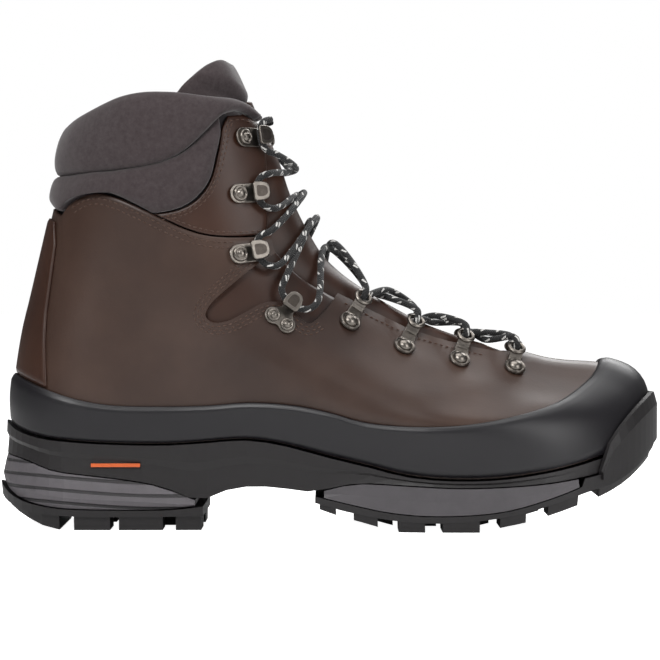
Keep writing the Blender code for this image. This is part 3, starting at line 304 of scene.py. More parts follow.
BOARD_TOP = [(x, z + 2.4) for x, z in FEATHER]
THROAT = [(-32.5, 189.6), (-29.5, 180), (-28.5, 167), (-28.2, 155), (-28, 140), (-25, 126), (-9, 115.5),
          (7.8, 107), (24, 98.5), (41, 91), (60, 85.4), (75, 82), (84, 81.2)]
FLEX_UPPER = [(-62, 108), (-50, 116.5), (-38, 125), (-30, 130), (-24.5, 129)]
FLEX_LOWER = [(-62, 90), (-52, 88), (-40, 91), (-28, 92), (-16, 86), (-6, 88), (5, 98), (8.5, 105.5)]
FLEX_FRONT = [(8.5, 105.5), (0, 110), (-12, 117), (-24.5, 129)]


def throat_phis(v):
    """The phi of the leather's edge beside the tongue. Below the throat the leather closes over, at pi."""
    phi, levels = place(*np.array(THROAT).T)
    order = np.argsort(levels)
    end = place(THROAT_END, THROAT_END_HEIGHT)[1]
    xs = np.concatenate([[end], levels[order]])
    shares = np.concatenate([[1.0], (1 - np.cos(phi[order])) / 2])
    share = np.where(v <= end, 1.0, np.interp(v, xs, shares))
    return np.arccos(1 - 2 * np.clip(share, 0, 1))


def warp(t):
    """Column places from -1 to 1, closer together at the heel."""
    return np.sign(t) * (0.72 * np.abs(t) + 0.28 * np.abs(t) ** 2)


def upper_grid(bottom, top, columns, rows, edge):
    """phi and v of a sheet wrapped round the boot, between two levels and as far forward as edge(v)."""
    t, r = warp(np.linspace(-1, 1, columns))[None, :], np.asarray(rows)[:, None]
    phi = np.broadcast_to(t * math.pi, (len(rows), columns)).copy()
    for _ in range(12):
        low, high = bottom(np.abs(phi)), top(np.abs(phi))
        v = low + r * (high - low)
        phi = 0.5 * phi + 0.5 * t * edge(v)
    return t * edge(v), v


def from_side(points, side, rear_fixed=False):
    """(phi, v) of a grid of side points on one side."""
    phi, v = place(points[..., 0], points[..., 1])
    if rear_fixed:
        phi[:, 0] = 0
    return side * phi, v


def both_sides(points):
    """(phi, v) of a grid that runs from one front edge, round the heel, to the other."""
    phi, v = from_side(points, 1, rear_fixed=True)
    return np.hstack([-phi[:, :0:-1], phi]), np.hstack([v[:, :0:-1], v])


TONGUE_FOOT, TONGUE_TOP = 100, 0.955


def tongue_width(v):
    return np.interp(v, [0.2, 0.3, 0.55, 0.75, 1], [12, 22, 27, 28, 27])


def lining_depth(phi, v):
    """How deep the lining's outside lies: behind the stiffeners and flex panels it stands off."""
    share = (1 - np.cos(phi)) / 2
    x, z = side_point(share, v)
    behind = np.maximum.reduce([
        np.clip((np.interp(x, *np.array([(-150, 118), (-120, 115), (-88, 100), (-60, 80), (-42, 60), (-34, 30)]).T) - z)
                / 8, 0, 1),
        np.clip((x - np.interp(z, [33, 52, 66, 84], [68, 74, 80, 86])) / 6, 0, 1) * 1.5,
        np.clip((x + 76) / 6, 0, 1) * np.clip((z - 76) / 5, 0, 1) * np.clip((146 - z) / 6, 0, 1) * 1.8,
    ])
    return INSIDE - 0.35 - 1.5 * behind


def above_collar(phi, v, d):
    """A point of the skin, which goes on above the collar in the direction of the leg."""
    over = np.maximum(np.asarray(v) - 1, 0)[..., None] * 265
    return off_skin(phi, np.minimum(v, 1), d) + over * np.array([-0.40, 0, 0.92])


FACING_REACH = 2.74


def tongue_pad_shape(t, rows):
    """The winged pad at the top of the tongue: t runs -1 to 1 from wing to wing, rows 0 to 1 upwards.

    Above the collar its front comes forward, over the top of the facing.
    """
    phi = math.pi + (math.pi - 1.62) * t * np.ones_like(rows)
    top = 0.987 + 0.124 * np.clip(1 - np.abs(t) ** 1.7, 0, 1)
    v = 0.967 + rows * (top - 0.967)
    pad = np.sqrt(np.clip(1 - np.abs(t) ** 4, 0, 1) * np.clip(1 - np.abs(2 * rows - 1) ** 4, 0, 1))
    above = np.clip((v - 1.013) / 0.04, 0, 1)
    front = 6.4 * above**2 * (3 - 2 * above) * np.clip(1 - (np.abs(t) / 0.8) ** 2, 0, 1)
    return phi, v, -9.0 + 1.5 * pad + front, -10.0 - (2.8 - 2.6 * np.abs(t) ** 1.5) * pad + 0.7 * front


def facing_depth(v):
    """The facing starts behind the collar's front edges and comes level with them above."""
    share = np.clip((v - 0.99) / 0.035, 0, 1)
    return -5.4 + 4.2 * share**2 * (3 - 2 * share)


HOOKS = [((-40, 180.6), (-32.2, 180.6)), ((-41.9, 154.6), (-33.9, 155.1)), ((-41.6, 126.6), (-34.3, 127.6))]
LOW_HOOK = ((-22.5, 97.1), (-17.4, 104.1))
LOOPS = [((85.9, 73.8), (86.4, 80.2)), ((59.9, 77.6), (62.2, 85.6)), ((34.1, 83.8), (38.6, 92.4)),
         ((8.9, 95.3), (13.6, 104.0))]
STAND = 0.9
HOOK_REACH, HOOK_WIDTH, HOOK_HEIGHT = 11.4, 9.4, 7.0
ARM = 1.2
EYE, EYE_HEIGHT = 3.4, 4.2


def seat(a, b, side):
    """A frame on the skin: the point at a, the direction to b, the direction across, and the normal."""
    phi, v = place([a[0], b[0]], [a[1], b[1]])
    points, normals = skin(side * phi, v), outward(side * phi, v)
    n = normals[0] + normals[1]
    n /= np.linalg.norm(n)
    u = points[1] - points[0]
    u -= n * (u @ n)
    u /= np.linalg.norm(u)
    w = np.cross(n, u)
    if w[2] < 0:
        w = -w
    return points[0], u, w, n


def in_seat(frame, points):
    p, u, w, n = frame
    return np.array([p + a * u + b * w + c * n for a, b, c in points])


def hardware_seats(side):
    """The frames of one side's hooks (from the top) and loops (from the toe), with each loop's reach."""
    hooks = [seat(a, b, side) for a, b in HOOKS]
    low = seat(*LOW_HOOK, side)
    loops = []
    for a, b in LOOPS:
        frame = seat(a, b, side)
        phi, v = place([a[0], b[0]], [a[1], b[1]])
        p = skin(side * phi, v)
        loops.append((frame, max(float(np.linalg.norm(p[1] - p[0])), 8.6)))
    return hooks, low, loops


def ridge_point(x_or_v, height, y=0.0):
    """A point this far above the tongue's crown, at a level of the front outline."""
    p, n = skin(math.pi - 1e-3, x_or_v), outward(math.pi - 0.02, x_or_v)
    n = np.array([n[0], 0, n[2]])
    n /= np.linalg.norm(n)
    return p + height * n + np.array([0, y, 0])


def through_eye(frame, reach, along):
    """The lace's way up through an eye: in from below on the tongue side and back out over the top."""
    return in_seat(frame, [(reach + 6.5, -along * 2.2, 2.0), (reach + 2.0, -along * 0.5, 1.9),
                           (reach - 0.1, 0, EYE_HEIGHT - 0.3), (reach + 0.4, along * 0.2, EYE_HEIGHT + 2.0),
                           (reach + 3.4, along * 1.6, EYE_HEIGHT + 3.3)])


def round_hook(frame, wide=0.0):
    """The lace's way round a hook, from below to above it."""
    w = 6.9 + wide
    return in_seat(frame, [(HOOK_REACH + 4.2, -w - 1.3, 4.0), (HOOK_REACH - 0.6, -w, 3.8), (8.0, -w / 2, 3.75),
                           (7.6, 0, 3.75), (8.0, w / 2, 3.75), (HOOK_REACH - 0.6, w, 3.8),
                           (HOOK_REACH + 4.2, w + 1.3, 4.0)])


def lace_strand(first, height):
    """The way of one half of the lace from the first eye on side `first` to the last hook."""
    seats = {side: hardware_seats(side) for side in (-1, 1)}
    path, side = [], first
    for k in range(4):
        frame, reach = seats[side][2][k]
        path += list(through_eye(frame, reach, along=1.0))
        path.append(crossing(k, height))
        side = -side
    path += list(round_hook(seats[side][1], wide=0.9))
    path.append(crossing(4, height))
    side = -side
    for k in (2, 1, 0):
        path += list(round_hook(seats[side][0][k]))
        if k:
            path.append(crossing(7 - k, height))
            side = -side
    return path, side


CROSSINGS = [(72, 0), (48, 0), (25, 0.4), (-4, 1.8), (-11.5, 1.5), (-17.5, 1.0), (-21.5, 1.0)]


def crossing(k, height):
    """Where a strand passes over the middle of the tongue."""
    x = CROSSINGS[k][0]
    front = FRONT_LINE[np.argmin(np.abs(FRONT_LINE[:, 0] - x))]
    return ridge_point(float(place(front[0], front[1])[1]), 1.3 + height + CROSSINGS[k][1])


# ---- looks ----


def nodes_of(name):
    mat = bpy.data.materials.new(name)
    mat.use_nodes = True
    tree = mat.node_tree
    return mat, tree, tree.nodes["Principled BSDF"]


def put(tree, node, **values):
    """Sets a node's inputs, or links outputs to them. A name that is no input is a property."""
    for key, value in values.items():
        if key not in node.inputs:
            setattr(node, key, value)
        elif isinstance(value, bpy.types.NodeSocket):
            tree.links.new(value, node.inputs[key])
        else:
            node.inputs[key].default_value = value
    return node


def add(tree, kind, **values):
    return put(tree, tree.nodes.new(kind), **values)


def maths(tree, op, a, b=0.0):
    """One step of arithmetic on numbers or outputs."""
    node = add(tree, "ShaderNodeMath", operation=op)
    for k, value in enumerate((a, b)):
        if isinstance(value, (int, float)):
            node.inputs[k].default_value = value
        else:
            tree.links.new(value, node.inputs[k])
    return node.outputs[0]


def mixed(tree, fac, first, second):
    """The first colour, and the second where fac is one."""
    node = add(tree, "ShaderNodeMix", data_type="RGBA")
    for k, value in ((0, fac), (6, first), (7, second)):
        if isinstance(value, tuple):
            node.inputs[k].default_value = (*value, 1)
        else:
            tree.links.new(value, node.inputs[k])
    return node.outputs[2]


def here(tree):
    return add(tree, "ShaderNodeTexCoord").outputs["Object"]


def noise(tree, scale, detail=6.0, rough=0.6):
    node = add(tree, "ShaderNodeTexNoise", Scale=scale, Detail=detail, Roughness=rough, Vector=here(tree))
    return node.outputs["Fac"]


def ramp(tree, fac, stops):
    node = add(tree, "ShaderNodeValToRGB", Fac=fac)
    elements = node.color_ramp.elements
    while len(elements) < len(stops):
        elements.new(0.5)
    for element, (at, color) in zip(elements, stops):
        element.position = at
        element.color = (*color, 1)
    return node.outputs["Color"]


def bump(tree, shader, layers):
    """Adds height layers (output, strength, distance in mm) to a shader's normal."""
    below = {}
    for height, strength, distance in layers:
        node = add(tree, "ShaderNodeBump", Strength=strength, Distance=distance * MM, Height=height, **below)
        below = {"Normal": node.outputs["Normal"]}
    put(tree, shader, **below)


def leather(name, dark, light, roughness=0.42, grain=1.0):
    mat, tree, shader = nodes_of(name)
    gloss = add(tree, "ShaderNodeMapRange", Value=noise(tree, 40, 6, 0.65),
                **{"To Min": roughness - 0.06, "To Max": roughness + 0.12})
    tone = ramp(tree, noise(tree, 14, 5, 0.55), [(0.3, dark), (0.72, light)])
    put(tree, shader, Roughness=gloss.outputs["Result"], **{"Base Color": tone, "Specular IOR Level": 0.42})
    pores = add(tree, "ShaderNodeTexVoronoi", Scale=620.0, feature="DISTANCE_TO_EDGE", Vector=here(tree))
    bump(tree, shader, [(noise(tree, 900, 3, 0.6), 0.25 * grain, 0.10),
                        (pores.outputs["Distance"], 0.18 * grain, 0.08), (noise(tree, 60, 4), 0.2 * grain, 0.35)])
    return mat


def textile(name, dark, light, scale=1500.0, fuzz=0.25):
    mat, tree, shader = nodes_of(name)
    tone = ramp(tree, noise(tree, 420, 5, 0.75), [(0.25, dark), (0.75, light)])
    put(tree, shader, Roughness=0.85,
        **{"Base Color": tone, "Specular IOR Level": 0.2, "Sheen Weight": fuzz, "Sheen Roughness": 0.5})
    bump(tree, shader, [(noise(tree, scale, 3, 0.8), 0.35, 0.2), (noise(tree, 90, 3), 0.15, 0.5)])
    return mat


def rubber(name, color, roughness=0.45, texture=0.3):
    mat, tree, shader = nodes_of(name)
    tone = ramp(tree, noise(tree, 120, 6, 0.7), [(0.3, color), (0.8, tuple(c * 1.25 for c in color))])
    put(tree, shader, Roughness=roughness, **{"Base Color": tone, "Specular IOR Level": 0.5})
    bump(tree, shader, [(noise(tree, 1400, 2, 0.7), texture, 0.06)])
    return mat


def metal(name, color, roughness=0.3):
    mat, tree, shader = nodes_of(name)
    tone = ramp(tree, noise(tree, 300, 5, 0.7), [(0.25, tuple(c * 0.55 for c in color)), (0.7, color)])
    put(tree, shader, Metallic=1.0, Roughness=roughness, **{"Base Color": tone})
    bump(tree, shader, [(noise(tree, 900, 3), 0.08, 0.05)])
    return mat


def grooved(name, color, pitch, slope):
    """Foam with shallow grooves that run level round its side, painted darker inside each groove as shade."""
    mat, tree, shader = nodes_of(name)
    step = partial(maths, tree)
    where = add(tree, "ShaderNodeSeparateXYZ", Vector=here(tree))
    drop = step("MULTIPLY", step("ADD", where.outputs[0], 0.154), slope)
    sway = step("MULTIPLY", step("SINE", step("MULTIPLY", where.outputs[0], 55.0)), 0.0009)
    height = step("ADD", step("ADD", where.outputs[2], drop), sway)
    wave = step("SINE", step("MULTIPLY", height, 2 * math.pi / pitch))
    tone = ramp(tree, noise(tree, 150, 6, 0.7), [(0.3, color), (0.8, tuple(1.3 * c for c in color))])
    # Painted shade: along each groove the foam's colour drops to a quarter, where shade would fall.
    tone_with_painted_groove_shade = mixed(tree, step("GREATER_THAN", wave, 0.72), tone, tuple(0.25 * c for c in color))
    put(tree, shader, Roughness=0.6, **{"Base Color": tone_with_painted_groove_shade})
    # Nought for most of the wave, rising smoothly to one at its crest, where the groove is.
    crest = add(tree, "ShaderNodeMapRange", Value=wave, interpolation_type="SMOOTHSTEP",
                **{"From Min": 0.5, "From Max": 0.95})
    lowered = step("SUBTRACT", 1.0, crest.outputs["Result"])
    bump(tree, shader, [(lowered, 0.8, 0.7), (noise(tree, 1400, 2, 0.7), 0.25, 0.06)])
    return mat


def cord_look(name):
    """A braided cord: black, with pairs of pale dashes. U is the length in millimetres, V goes once round."""
    mat, tree, shader = nodes_of(name)
    step = partial(maths, tree)
    split = add(tree, "ShaderNodeSeparateXYZ", Vector=add(tree, "ShaderNodeUVMap", uv_map="cord").outputs["UV"])
    u, v = split.outputs[0], split.outputs[1]
    dashes = []
    for phase in (0.0, 0.13, 0.5):
        along = step("FRACT", step("ADD", step("DIVIDE", u, 6.2), phase))
        around = step("FRACT", step("ADD", step("ADD", v, step("MULTIPLY", u, 0.055)), phase * 1.25))
        near = step("LESS_THAN", step("ABSOLUTE", step("SUBTRACT", along, 0.5)), 0.2)
        beside = step("LESS_THAN", step("ABSOLUTE", step("SUBTRACT", around, 0.5)), 0.05)
        dashes.append(step("MULTIPLY", near, beside))
    pale = step("MAXIMUM", step("MAXIMUM", dashes[0], dashes[1]), dashes[2])
    tone = mixed(tree, pale, (0.0035, 0.0035, 0.004), (0.55, 0.54, 0.52))
    put(tree, shader, Roughness=0.75, **{"Base Color": tone, "Sheen Weight": 0.15})
    waves = [step("SINE", step("MULTIPLY", step(turn, u, step("MULTIPLY", v, 6.0)), 5.2))
             for turn in ("ADD", "SUBTRACT")]
    bump(tree, shader, [(step("ADD", *waves), 0.5, 0.18)])
    return mat


# ---- building visible pieces ----


def placed(name, data):
    obj = bpy.data.objects.new(name, data)
    bpy.context.collection.objects.link(obj)
    return obj


def piece(name, verts, faces, material, smooth=True, uvs=None, weld=True):
    """A mesh from millimetre points, its doubles merged."""
    data = bpy.data.meshes.new(name)
    bm = bmesh.new()
    points = [bm.verts.new([c * MM for c in p]) for p in verts]
    layer = bm.loops.layers.uv.new("cord") if uvs is not None else None
    for face in faces:
        face = list(dict.fromkeys(face))
        if len(face) < 3:
            continue
        made = bm.faces.new([points[i] for i in face])
        if layer:
            for loop, i in zip(made.loops, face):
                loop[layer].uv = uvs[i]
    if weld:
        bmesh.ops.remove_doubles(bm, verts=bm.verts, dist=1e-5)
    bmesh.ops.recalc_face_normals(bm, faces=bm.faces)
    for face in bm.faces:
        face.smooth = smooth
    bm.to_mesh(data)
    bm.free()
    data.materials.append(material)
    return placed(name, data)


def skin_sheet(name, phi, v, d_out, d_in, material, point=off_skin):
    """A closed sheet over the skin, from depth d_in to depth d_out."""
    phi = np.where(phi <= 1e-6 - math.pi, math.pi, phi)
    outer, inner = point(phi, v, d_out), point(phi, v, d_in)
    rows, cols = phi.shape
    key, index = {}, np.zeros((rows, cols), int)
    for r in range(rows):
        for c in range(cols):
            index[r, c] = key.setdefault(tuple(np.round(outer[r, c], 3)), len(key))
    total = len(key)
    verts = np.zeros((2 * total, 3))
    for r in range(rows):
        for c in range(cols):
            verts[index[r, c]], verts[total + index[r, c]] = outer[r, c], inner[r, c]
    quads = []
    for r in range(rows - 1):
        for c in range(cols - 1):
            q = list(dict.fromkeys([index[r, c], index[r, c + 1], index[r + 1, c + 1], index[r + 1, c]]))
            if len(q) > 2:
                quads.append(q)
    edges = {(a, b) for q in quads for a, b in zip(q, q[1:] + q[:1])}
    faces = quads + [[i + total for i in q[::-1]] for q in quads]
    faces += [[b, a, a + total, b + total] for a, b in edges if (b, a) not in edges]
    return piece(name, verts, faces, material)


def prism_faces(m):
    """The faces of a prism whose two ends have m corners each."""
    sides = [[i, i + m, (i + 1) % m + m, (i + 1) % m] for i in range(m)]
    return [list(range(m)), list(range(2 * m - 1, m - 1, -1)), *sides]


def bevel(obj, width, segments=2, angle=40):
    mod = obj.modifiers.new("bevel", "BEVEL")
    mod.width, mod.segments, mod.limit_method = width * MM, segments, "ANGLE"
    mod.angle_limit = math.radians(angle)
    mod.harden_normals = True
    return obj


def rounded(shape, d_out, d_in, edge=0.5, ends=(True, True, True, True)):
    """Lowers a sheet's outside at its rim, so that the cut edge catches the light softly."""
    out = np.array(np.broadcast_to(d_out, shape), float)
    bottom, top, left, right = ends
    for on, cells in ((bottom, np.s_[0, :]), (top, np.s_[-1, :]), (left, np.s_[:, 0]), (right, np.s_[:, -1])):
        if on:
            out[cells] = out[cells] - edge
    return out, np.array(np.broadcast_to(d_in, shape), float)


def eased(count, rim=0.02):
    """Evenly spaced places from 0 to 1 with one more close to each end."""
    return np.concatenate([[0, rim], np.linspace(rim * 3, 1 - rim * 3, count), [1 - rim, 1]])


def coons_at(bottom, top, rear, front, s, t, heel=0.0):
    """Side points that fill four lines, at s along and t up. With heel, the columns stand closer at the rear."""
    s, t = np.asarray(s)[None, :, None], np.asarray(t)[:, None, None]
    s = (1 - heel) * s + heel * s**2
    b, o, r, f = (spline(line) for line in (bottom, top, rear, front))
    bw, ow = walk(b, s[0, :, 0])[None], walk(o, s[0, :, 0])[None]
    rw, fw = walk(r, t[:, 0, 0])[:, None], walk(f, t[:, 0, 0])[:, None]
    corners = (1 - s) * (1 - t) * bw[:, :1] + s * (1 - t) * bw[:, -1:] + (1 - s) * t * ow[:, :1] + s * t * ow[:, -1:]
    return (1 - t) * bw + t * ow + (1 - s) * rw + s * fw - corners


def bends(obj):
    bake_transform(obj)


def show(obj, slot, body, *stands_for):
    if body == "bends":
        bends(obj)
    else:
        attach(obj, body)
    if stands_for:
        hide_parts(*stands_for)


# ---- stitching ----


def stitches(name, rows, material, pitch=2.7, length=1.9, radius=0.3, lift=0.12):
    """Rows of thread along side lines, on both sides of the boot: one small rounded stitch after another."""
    verts, faces = [], []
    for line, up in rows:
        for side in (-1, 1):
            dense = spline(line, 8)
            total = np.linalg.norm(np.diff(dense, axis=0), axis=1).sum()
            count = max(int(total / pitch), 1)
            for k in range(count):
                ends = walk(dense, np.array([k * pitch, k * pitch + length]) / total)
                phi, v = place(ends[:, 0], ends[:, 1])
                p = off_skin(side * phi, v, np.full(2, up + lift))
                n = outward(side * phi, v).mean(0)
                along = p[1] - p[0]
                half = np.linalg.norm(along) / 2
                if half < 0.2:
                    continue
                along /= 2 * half
                across = np.cross(n, along)
                start = len(verts)
                mid = p.mean(0)
                near, far = mid - along * half * 0.5, mid + along * half * 0.5
                verts += [mid - along * half, near + n * radius, far + n * radius,
                          mid + along * half, near + across * radius, far + across * radius,
                          near - across * radius, far - across * radius, mid - n * radius * 0.6]
                faces += [[start + i for i in f] for f in (
                    (0, 4, 1), (0, 1, 6), (1, 4, 5, 2), (1, 2, 7, 6), (2, 5, 3), (2, 3, 7), (0, 6, 8), (0, 8, 4),
                    (4, 8, 5), (6, 7, 8), (3, 5, 8), (3, 8, 7))]
    return piece(name, verts, faces, material, weld=False)


def shifted(line, by):
    """The line moved by this much to its left, seen from the outer side."""
    p = np.array(line, float)
    t = np.gradient(p, axis=0)
    t /= np.linalg.norm(t, axis=1, keepdims=True)
    return p + by * np.stack([-t[:, 1], t[:, 0]], axis=1)


# ---- the visible upper ----


def visible_leather(mat):
    rows = np.concatenate([np.linspace(0, 0.2, 13)[:-1], np.linspace(0.2, 0.97, 30), [0.985, 0.995, 1]])
    line = spline(QUARTER_TOP)
    phi, v = upper_grid(lambda p: np.zeros_like(p), lambda p: level_of(line, p), 145, rows, throat_phis)
    x, z = side_point((1 - np.cos(phi)) / 2, v)
    first = 0.5 * np.exp(-(((x - 52 + 0.5 * (z - 60)) / 5) ** 2))
    second = 0.4 * np.exp(-(((x - 66 + 0.4 * (z - 60)) / 4) ** 2))
    crease = first + second
    crease = crease * np.clip((np.pi - np.abs(phi)) / 0.3, 0, 1) * np.clip((z - 50) / 12, 0, 1) * 0.5
    out, inn = rounded(phi.shape, -crease, -LEATHER, 0.6, ends=(False, True, False, False))
    obj = skin_sheet("leather_upper", phi, v, out, inn, mat)
    cutter = notch_bar()
    mod = obj.modifiers.new("notch", "BOOLEAN")
    mod.operation, mod.solver, mod.object = "DIFFERENCE", "EXACT", cutter
    seen = obj.evaluated_get(bpy.context.evaluated_depsgraph_get())
    data = bpy.data.meshes.new_from_object(seen)
    obj.modifiers.clear()
    obj.data = data
    bpy.data.objects.remove(cutter)
    bevel(obj, 0.45, 2, 50)
    show(obj, "main_leather", "bends", "upper_leather")


def notch_bar():
    outline_ = np.vstack([spline(NOTCH, 8), [(40, 150), (-10, 150), (-24, 131)]])
    n = len(outline_)
    verts = [(x, y, z) for y in (-80, 80) for x, z in outline_]
    return piece("notch", verts, prism_faces(n), bpy.data.materials[0], smooth=False)


def visible_rand(mat):
    phi = math.pi * warp(np.linspace(-1, 1, 145))[None, :] * np.ones((16, 1))
    top = level_of(spline(RAND_TOP), np.abs(phi[0]))
    share = np.concatenate([np.linspace(0, 0.86, 10), [0.90, 0.93, 0.955, 0.975, 0.99, 1]])[:, None]
    thick = np.interp(share, [0, 0.86, 0.89, 0.91, 0.96, 1], [RAND, RAND, RAND - 0.1, RAND - 0.45, RAND - 0.8, 0.5])
    v = 0.004 + share * (top - 0.004)
    obj = skin_sheet("rand", phi, v, RAND_GAP + thick * np.ones_like(phi), np.full_like(phi, RAND_GAP - 0.6), mat)
    show(obj, "rand_rubber", "boot", "rubber_rand")


def visible_backstay(mat):
    levels = np.linspace(level_of(spline(RAND_TOP), np.zeros(1))[0], place(-130, 143)[1], 40)
    widths = np.interp(levels, levels[[0, 18, 34, 39]], [16, 9, 6, 3])
    rear = walk(REAR_LINE, levels)[:, 0]
    length = walk(FRONT_LINE, levels)[:, 0] - rear
    reach = np.arccos(1 - 2 * np.clip(widths / length, 0, 1))
    phi = reach[:, None] * np.array([-1, -0.97, *np.linspace(-0.9, 0.9, 15), 0.97, 1])[None, :]
    low = level_of(spline(RAND_TOP), np.abs(phi[0])) + 0.006
    v = low + (levels[:, None] - levels[0]) / (levels[-1] - levels[0]) * (levels[-1] - low)
    out, inn = rounded(v.shape, 1.5, 0.0, 0.6)
    show(skin_sheet("heel_strip", phi, v, out, inn, mat), "trim_leather", "bends", "backstay")


def side_sheets(name, points, out, inn, mat, slot, body, node):
    for side, where in ((-1, "outer"), (1, "inner")):
        phi, v = from_side(points, side)
        show(skin_sheet(f"{name}_{where}", phi, v, out, inn, mat), slot, body, f"{node}_{where}")


CUFF_BOTTOM = [(-80.5, 145.2), (-76, 143.2), (-66, 138.8), (-56, 136), (-41.6, 135.3), (-28.6, 136.3)]
CUFF_REAR = [(-80.5, 145.2), (-78.2, 145.4), (-69.1, 147.2), (-60.8, 152), (-54.8, 160.2), (-50.9, 174), (-48.9, 185),
             (-46.6, 190.6)]
CUFF_TOP = [(-46.6, 190.6), (-40, 191.2), (-33.4, 188.6)]
CUFF_FRONT = [(-28.6, 136.3), (-28.4, 155), (-28.8, 167), (-30, 180), (-33.4, 188.6)]


def visible_panels(mat):
    points = coons_at(CUFF_BOTTOM, CUFF_TOP, CUFF_REAR, CUFF_FRONT, eased(22), eased(30))
    out, inn = rounded(points.shape[:2], -0.35, -2.2, 0.5, ends=(False, True, True, True))
    side_sheets("cuff_leather", points, out, inn, mat, "trim_leather", "cuff", "cuff_panel")
    rear = [FLEX_LOWER[0], (-65, 99), FLEX_UPPER[0]]
    points = coons_at(FLEX_LOWER, FLEX_UPPER, rear, FLEX_FRONT, eased(24), eased(14))
    out, inn = rounded(points.shape[:2], INSIDE + 0.4, INSIDE - STIFFENER, 0.3)
    side_sheets("flex_leather", points, out, inn, mat, "trim_leather", "bends", "flex_panel")


# ---- padding ----

PAD_LOW = ([(-129.3, 150.0), (-125.7, 147.0), (-120.7, 151.8), (-114, 155.2), (-106, 156.2), (-98, 154), (-86, 148.6),
            (-81.6, 146.0)],
           [(-126.7, 162.9), (-111, 164.3), (-94, 165.8), (-78, 168.8), (-66.6, 174.4), (-56.9, 183.6), (-51.2, 189.8)],
           [(-81.6, 146.0), (-78.5, 146.0), (-69.4, 147.8), (-61.6, 152.5), (-55.6, 160.5), (-51.8, 174),
            (-50.3, 184), (-51.2, 189.8)])
PAD_HIGH = ([(-126.4, 163.0), (-111, 164.4), (-94, 165.9), (-78, 169.0), (-66, 174.7), (-56, 184.2), (-49.8, 190.7),
             (-42, 193.4), (-33.6, 189.8)],
            [(-121.2, 186.9), (-111, 193.4), (-100, 197.9), (-89, 200.5), (-75, 201.3), (-56, 199.5), (-43, 197.8),
             (-37.5, 195.4), (-33.4, 191.6)])


def pad_grid(bottom, top, front, columns, rows):
    s, t = eased(columns, 0.006)[1:], eased(rows, 0.03)
    s = np.concatenate([[0], s])
    phi, v = both_sides(coons_at(bottom, top, [bottom[0], np.mean([bottom[0], top[0]], axis=0) + (0.6, 0), top[0]],
                                 front, s, t, heel=0.6))
    return phi, v, t


def puff(phi, t, height, edge):
    """A stuffed section: steep at both seams, nearly flat between them."""
    across = np.clip(np.minimum(t, 1 - t) * 2, 0, 1)[:, None]
    rise = np.sqrt(1 - (1 - across) ** 2.4)
    return edge + (height - edge) * rise * np.ones_like(phi)


def visible_collar(mat):
    phi, v, t = pad_grid(*PAD_LOW[:2], PAD_LOW[2], 34, 16)
    ends = np.clip((np.abs(phi).max(1, keepdims=True) - np.abs(phi)) / 0.16, 0, 1)
    d = 0.1 + (puff(phi, t, 3.6, 0.1) - 0.1) * np.sqrt(1 - (1 - ends) ** 2)
    low = skin_sheet("ankle_pad", phi, v, d, np.full_like(v, -2.2), mat)
    phi, v, t = pad_grid(*PAD_HIGH, [PAD_HIGH[0][-1], PAD_HIGH[1][-1]], 44, 18)
    height = np.interp(np.abs(phi), [0, 2.1, 2.5, 3.2], [4.6, 4.6, 2.0, 1.2])
    d = puff(phi, t, 1.0, 0.0) * height
    high = skin_sheet("collar_pad", phi, v, d, np.full_like(v, -2.4), mat)
    for obj, node, fill in ((low, "collar_pad_lower", 0.8), (high, "collar_pad_upper", 0.85)):
        show(obj, "padding_textile", "cuff", node)
        stuff(obj)


def stuff(obj):
    """The give of real stuffing: broad shallow unevenness, of the same strength all over the pad."""
    texture = bpy.data.textures.new(obj.name, "CLOUDS")
    texture.noise_scale, texture.noise_depth = 0.022, 1
    mod = obj.modifiers.new("stuffing", "DISPLACE")
    mod.texture, mod.strength, mod.mid_level, mod.texture_coords = texture, 0.0011, 0.5, "LOCAL"


def visible_tongue(mat, trim):
    start = float(place(TONGUE_FOOT, 78.7)[1])
    levels = np.linspace(start, TONGUE_TOP, 60)[:, None]
    t = np.concatenate([[-1, -0.97], np.linspace(-0.9, 0.9, 31), [0.97, 1]])[None, :]
    reach = math.pi - phi_at_width(levels, tongue_width(levels))
    phi = math.pi + reach * t
    v = levels * np.ones_like(t)
    rise = np.interp(levels, [start, start + 0.12, 0.9, TONGUE_TOP], [0, 1, 1, 0.9])
    free = (math.pi - throat_phis(levels)) / reach
    middle = np.clip((free - np.abs(t)) / np.maximum(0.7 * free, 0.01), 0, 1)
    d_out = -4.6 + rise * (3.9 * middle**2 * (3 - 2 * middle))
    obj = skin_sheet("tongue_body", phi, v, d_out, d_out - 4.5, trim)
    show(obj, "padding_textile", "bends", "tongue")
    t = np.concatenate([[-1, -0.985], np.linspace(-0.95, 0.95, 55), [0.985, 1]])[None, :]
    obj = skin_sheet("tongue_wings", *tongue_pad_shape(t, eased(24, 0.02)[:, None]), mat, point=above_collar)
    stuff(obj)
    show(obj, "padding_textile", "tongue_top", "tongue_pad")
    t = eased(18)[None, :] * 2 - 1
    rows = eased(18)[:, None]
    phi = math.pi + (math.pi - FACING_REACH) * t * np.ones_like(rows)
    v = 0.962 + rows * (1.036 - 0.02 * t**2 - 0.962)
    out, inn = rounded(v.shape, facing_depth(v) + 0.2, facing_depth(v) - 1.4, 0.5)
    show(skin_sheet("tongue_patch", phi, v, out, inn, trim, point=above_collar), "trim_leather", "tongue_top",
         "tongue_facing")


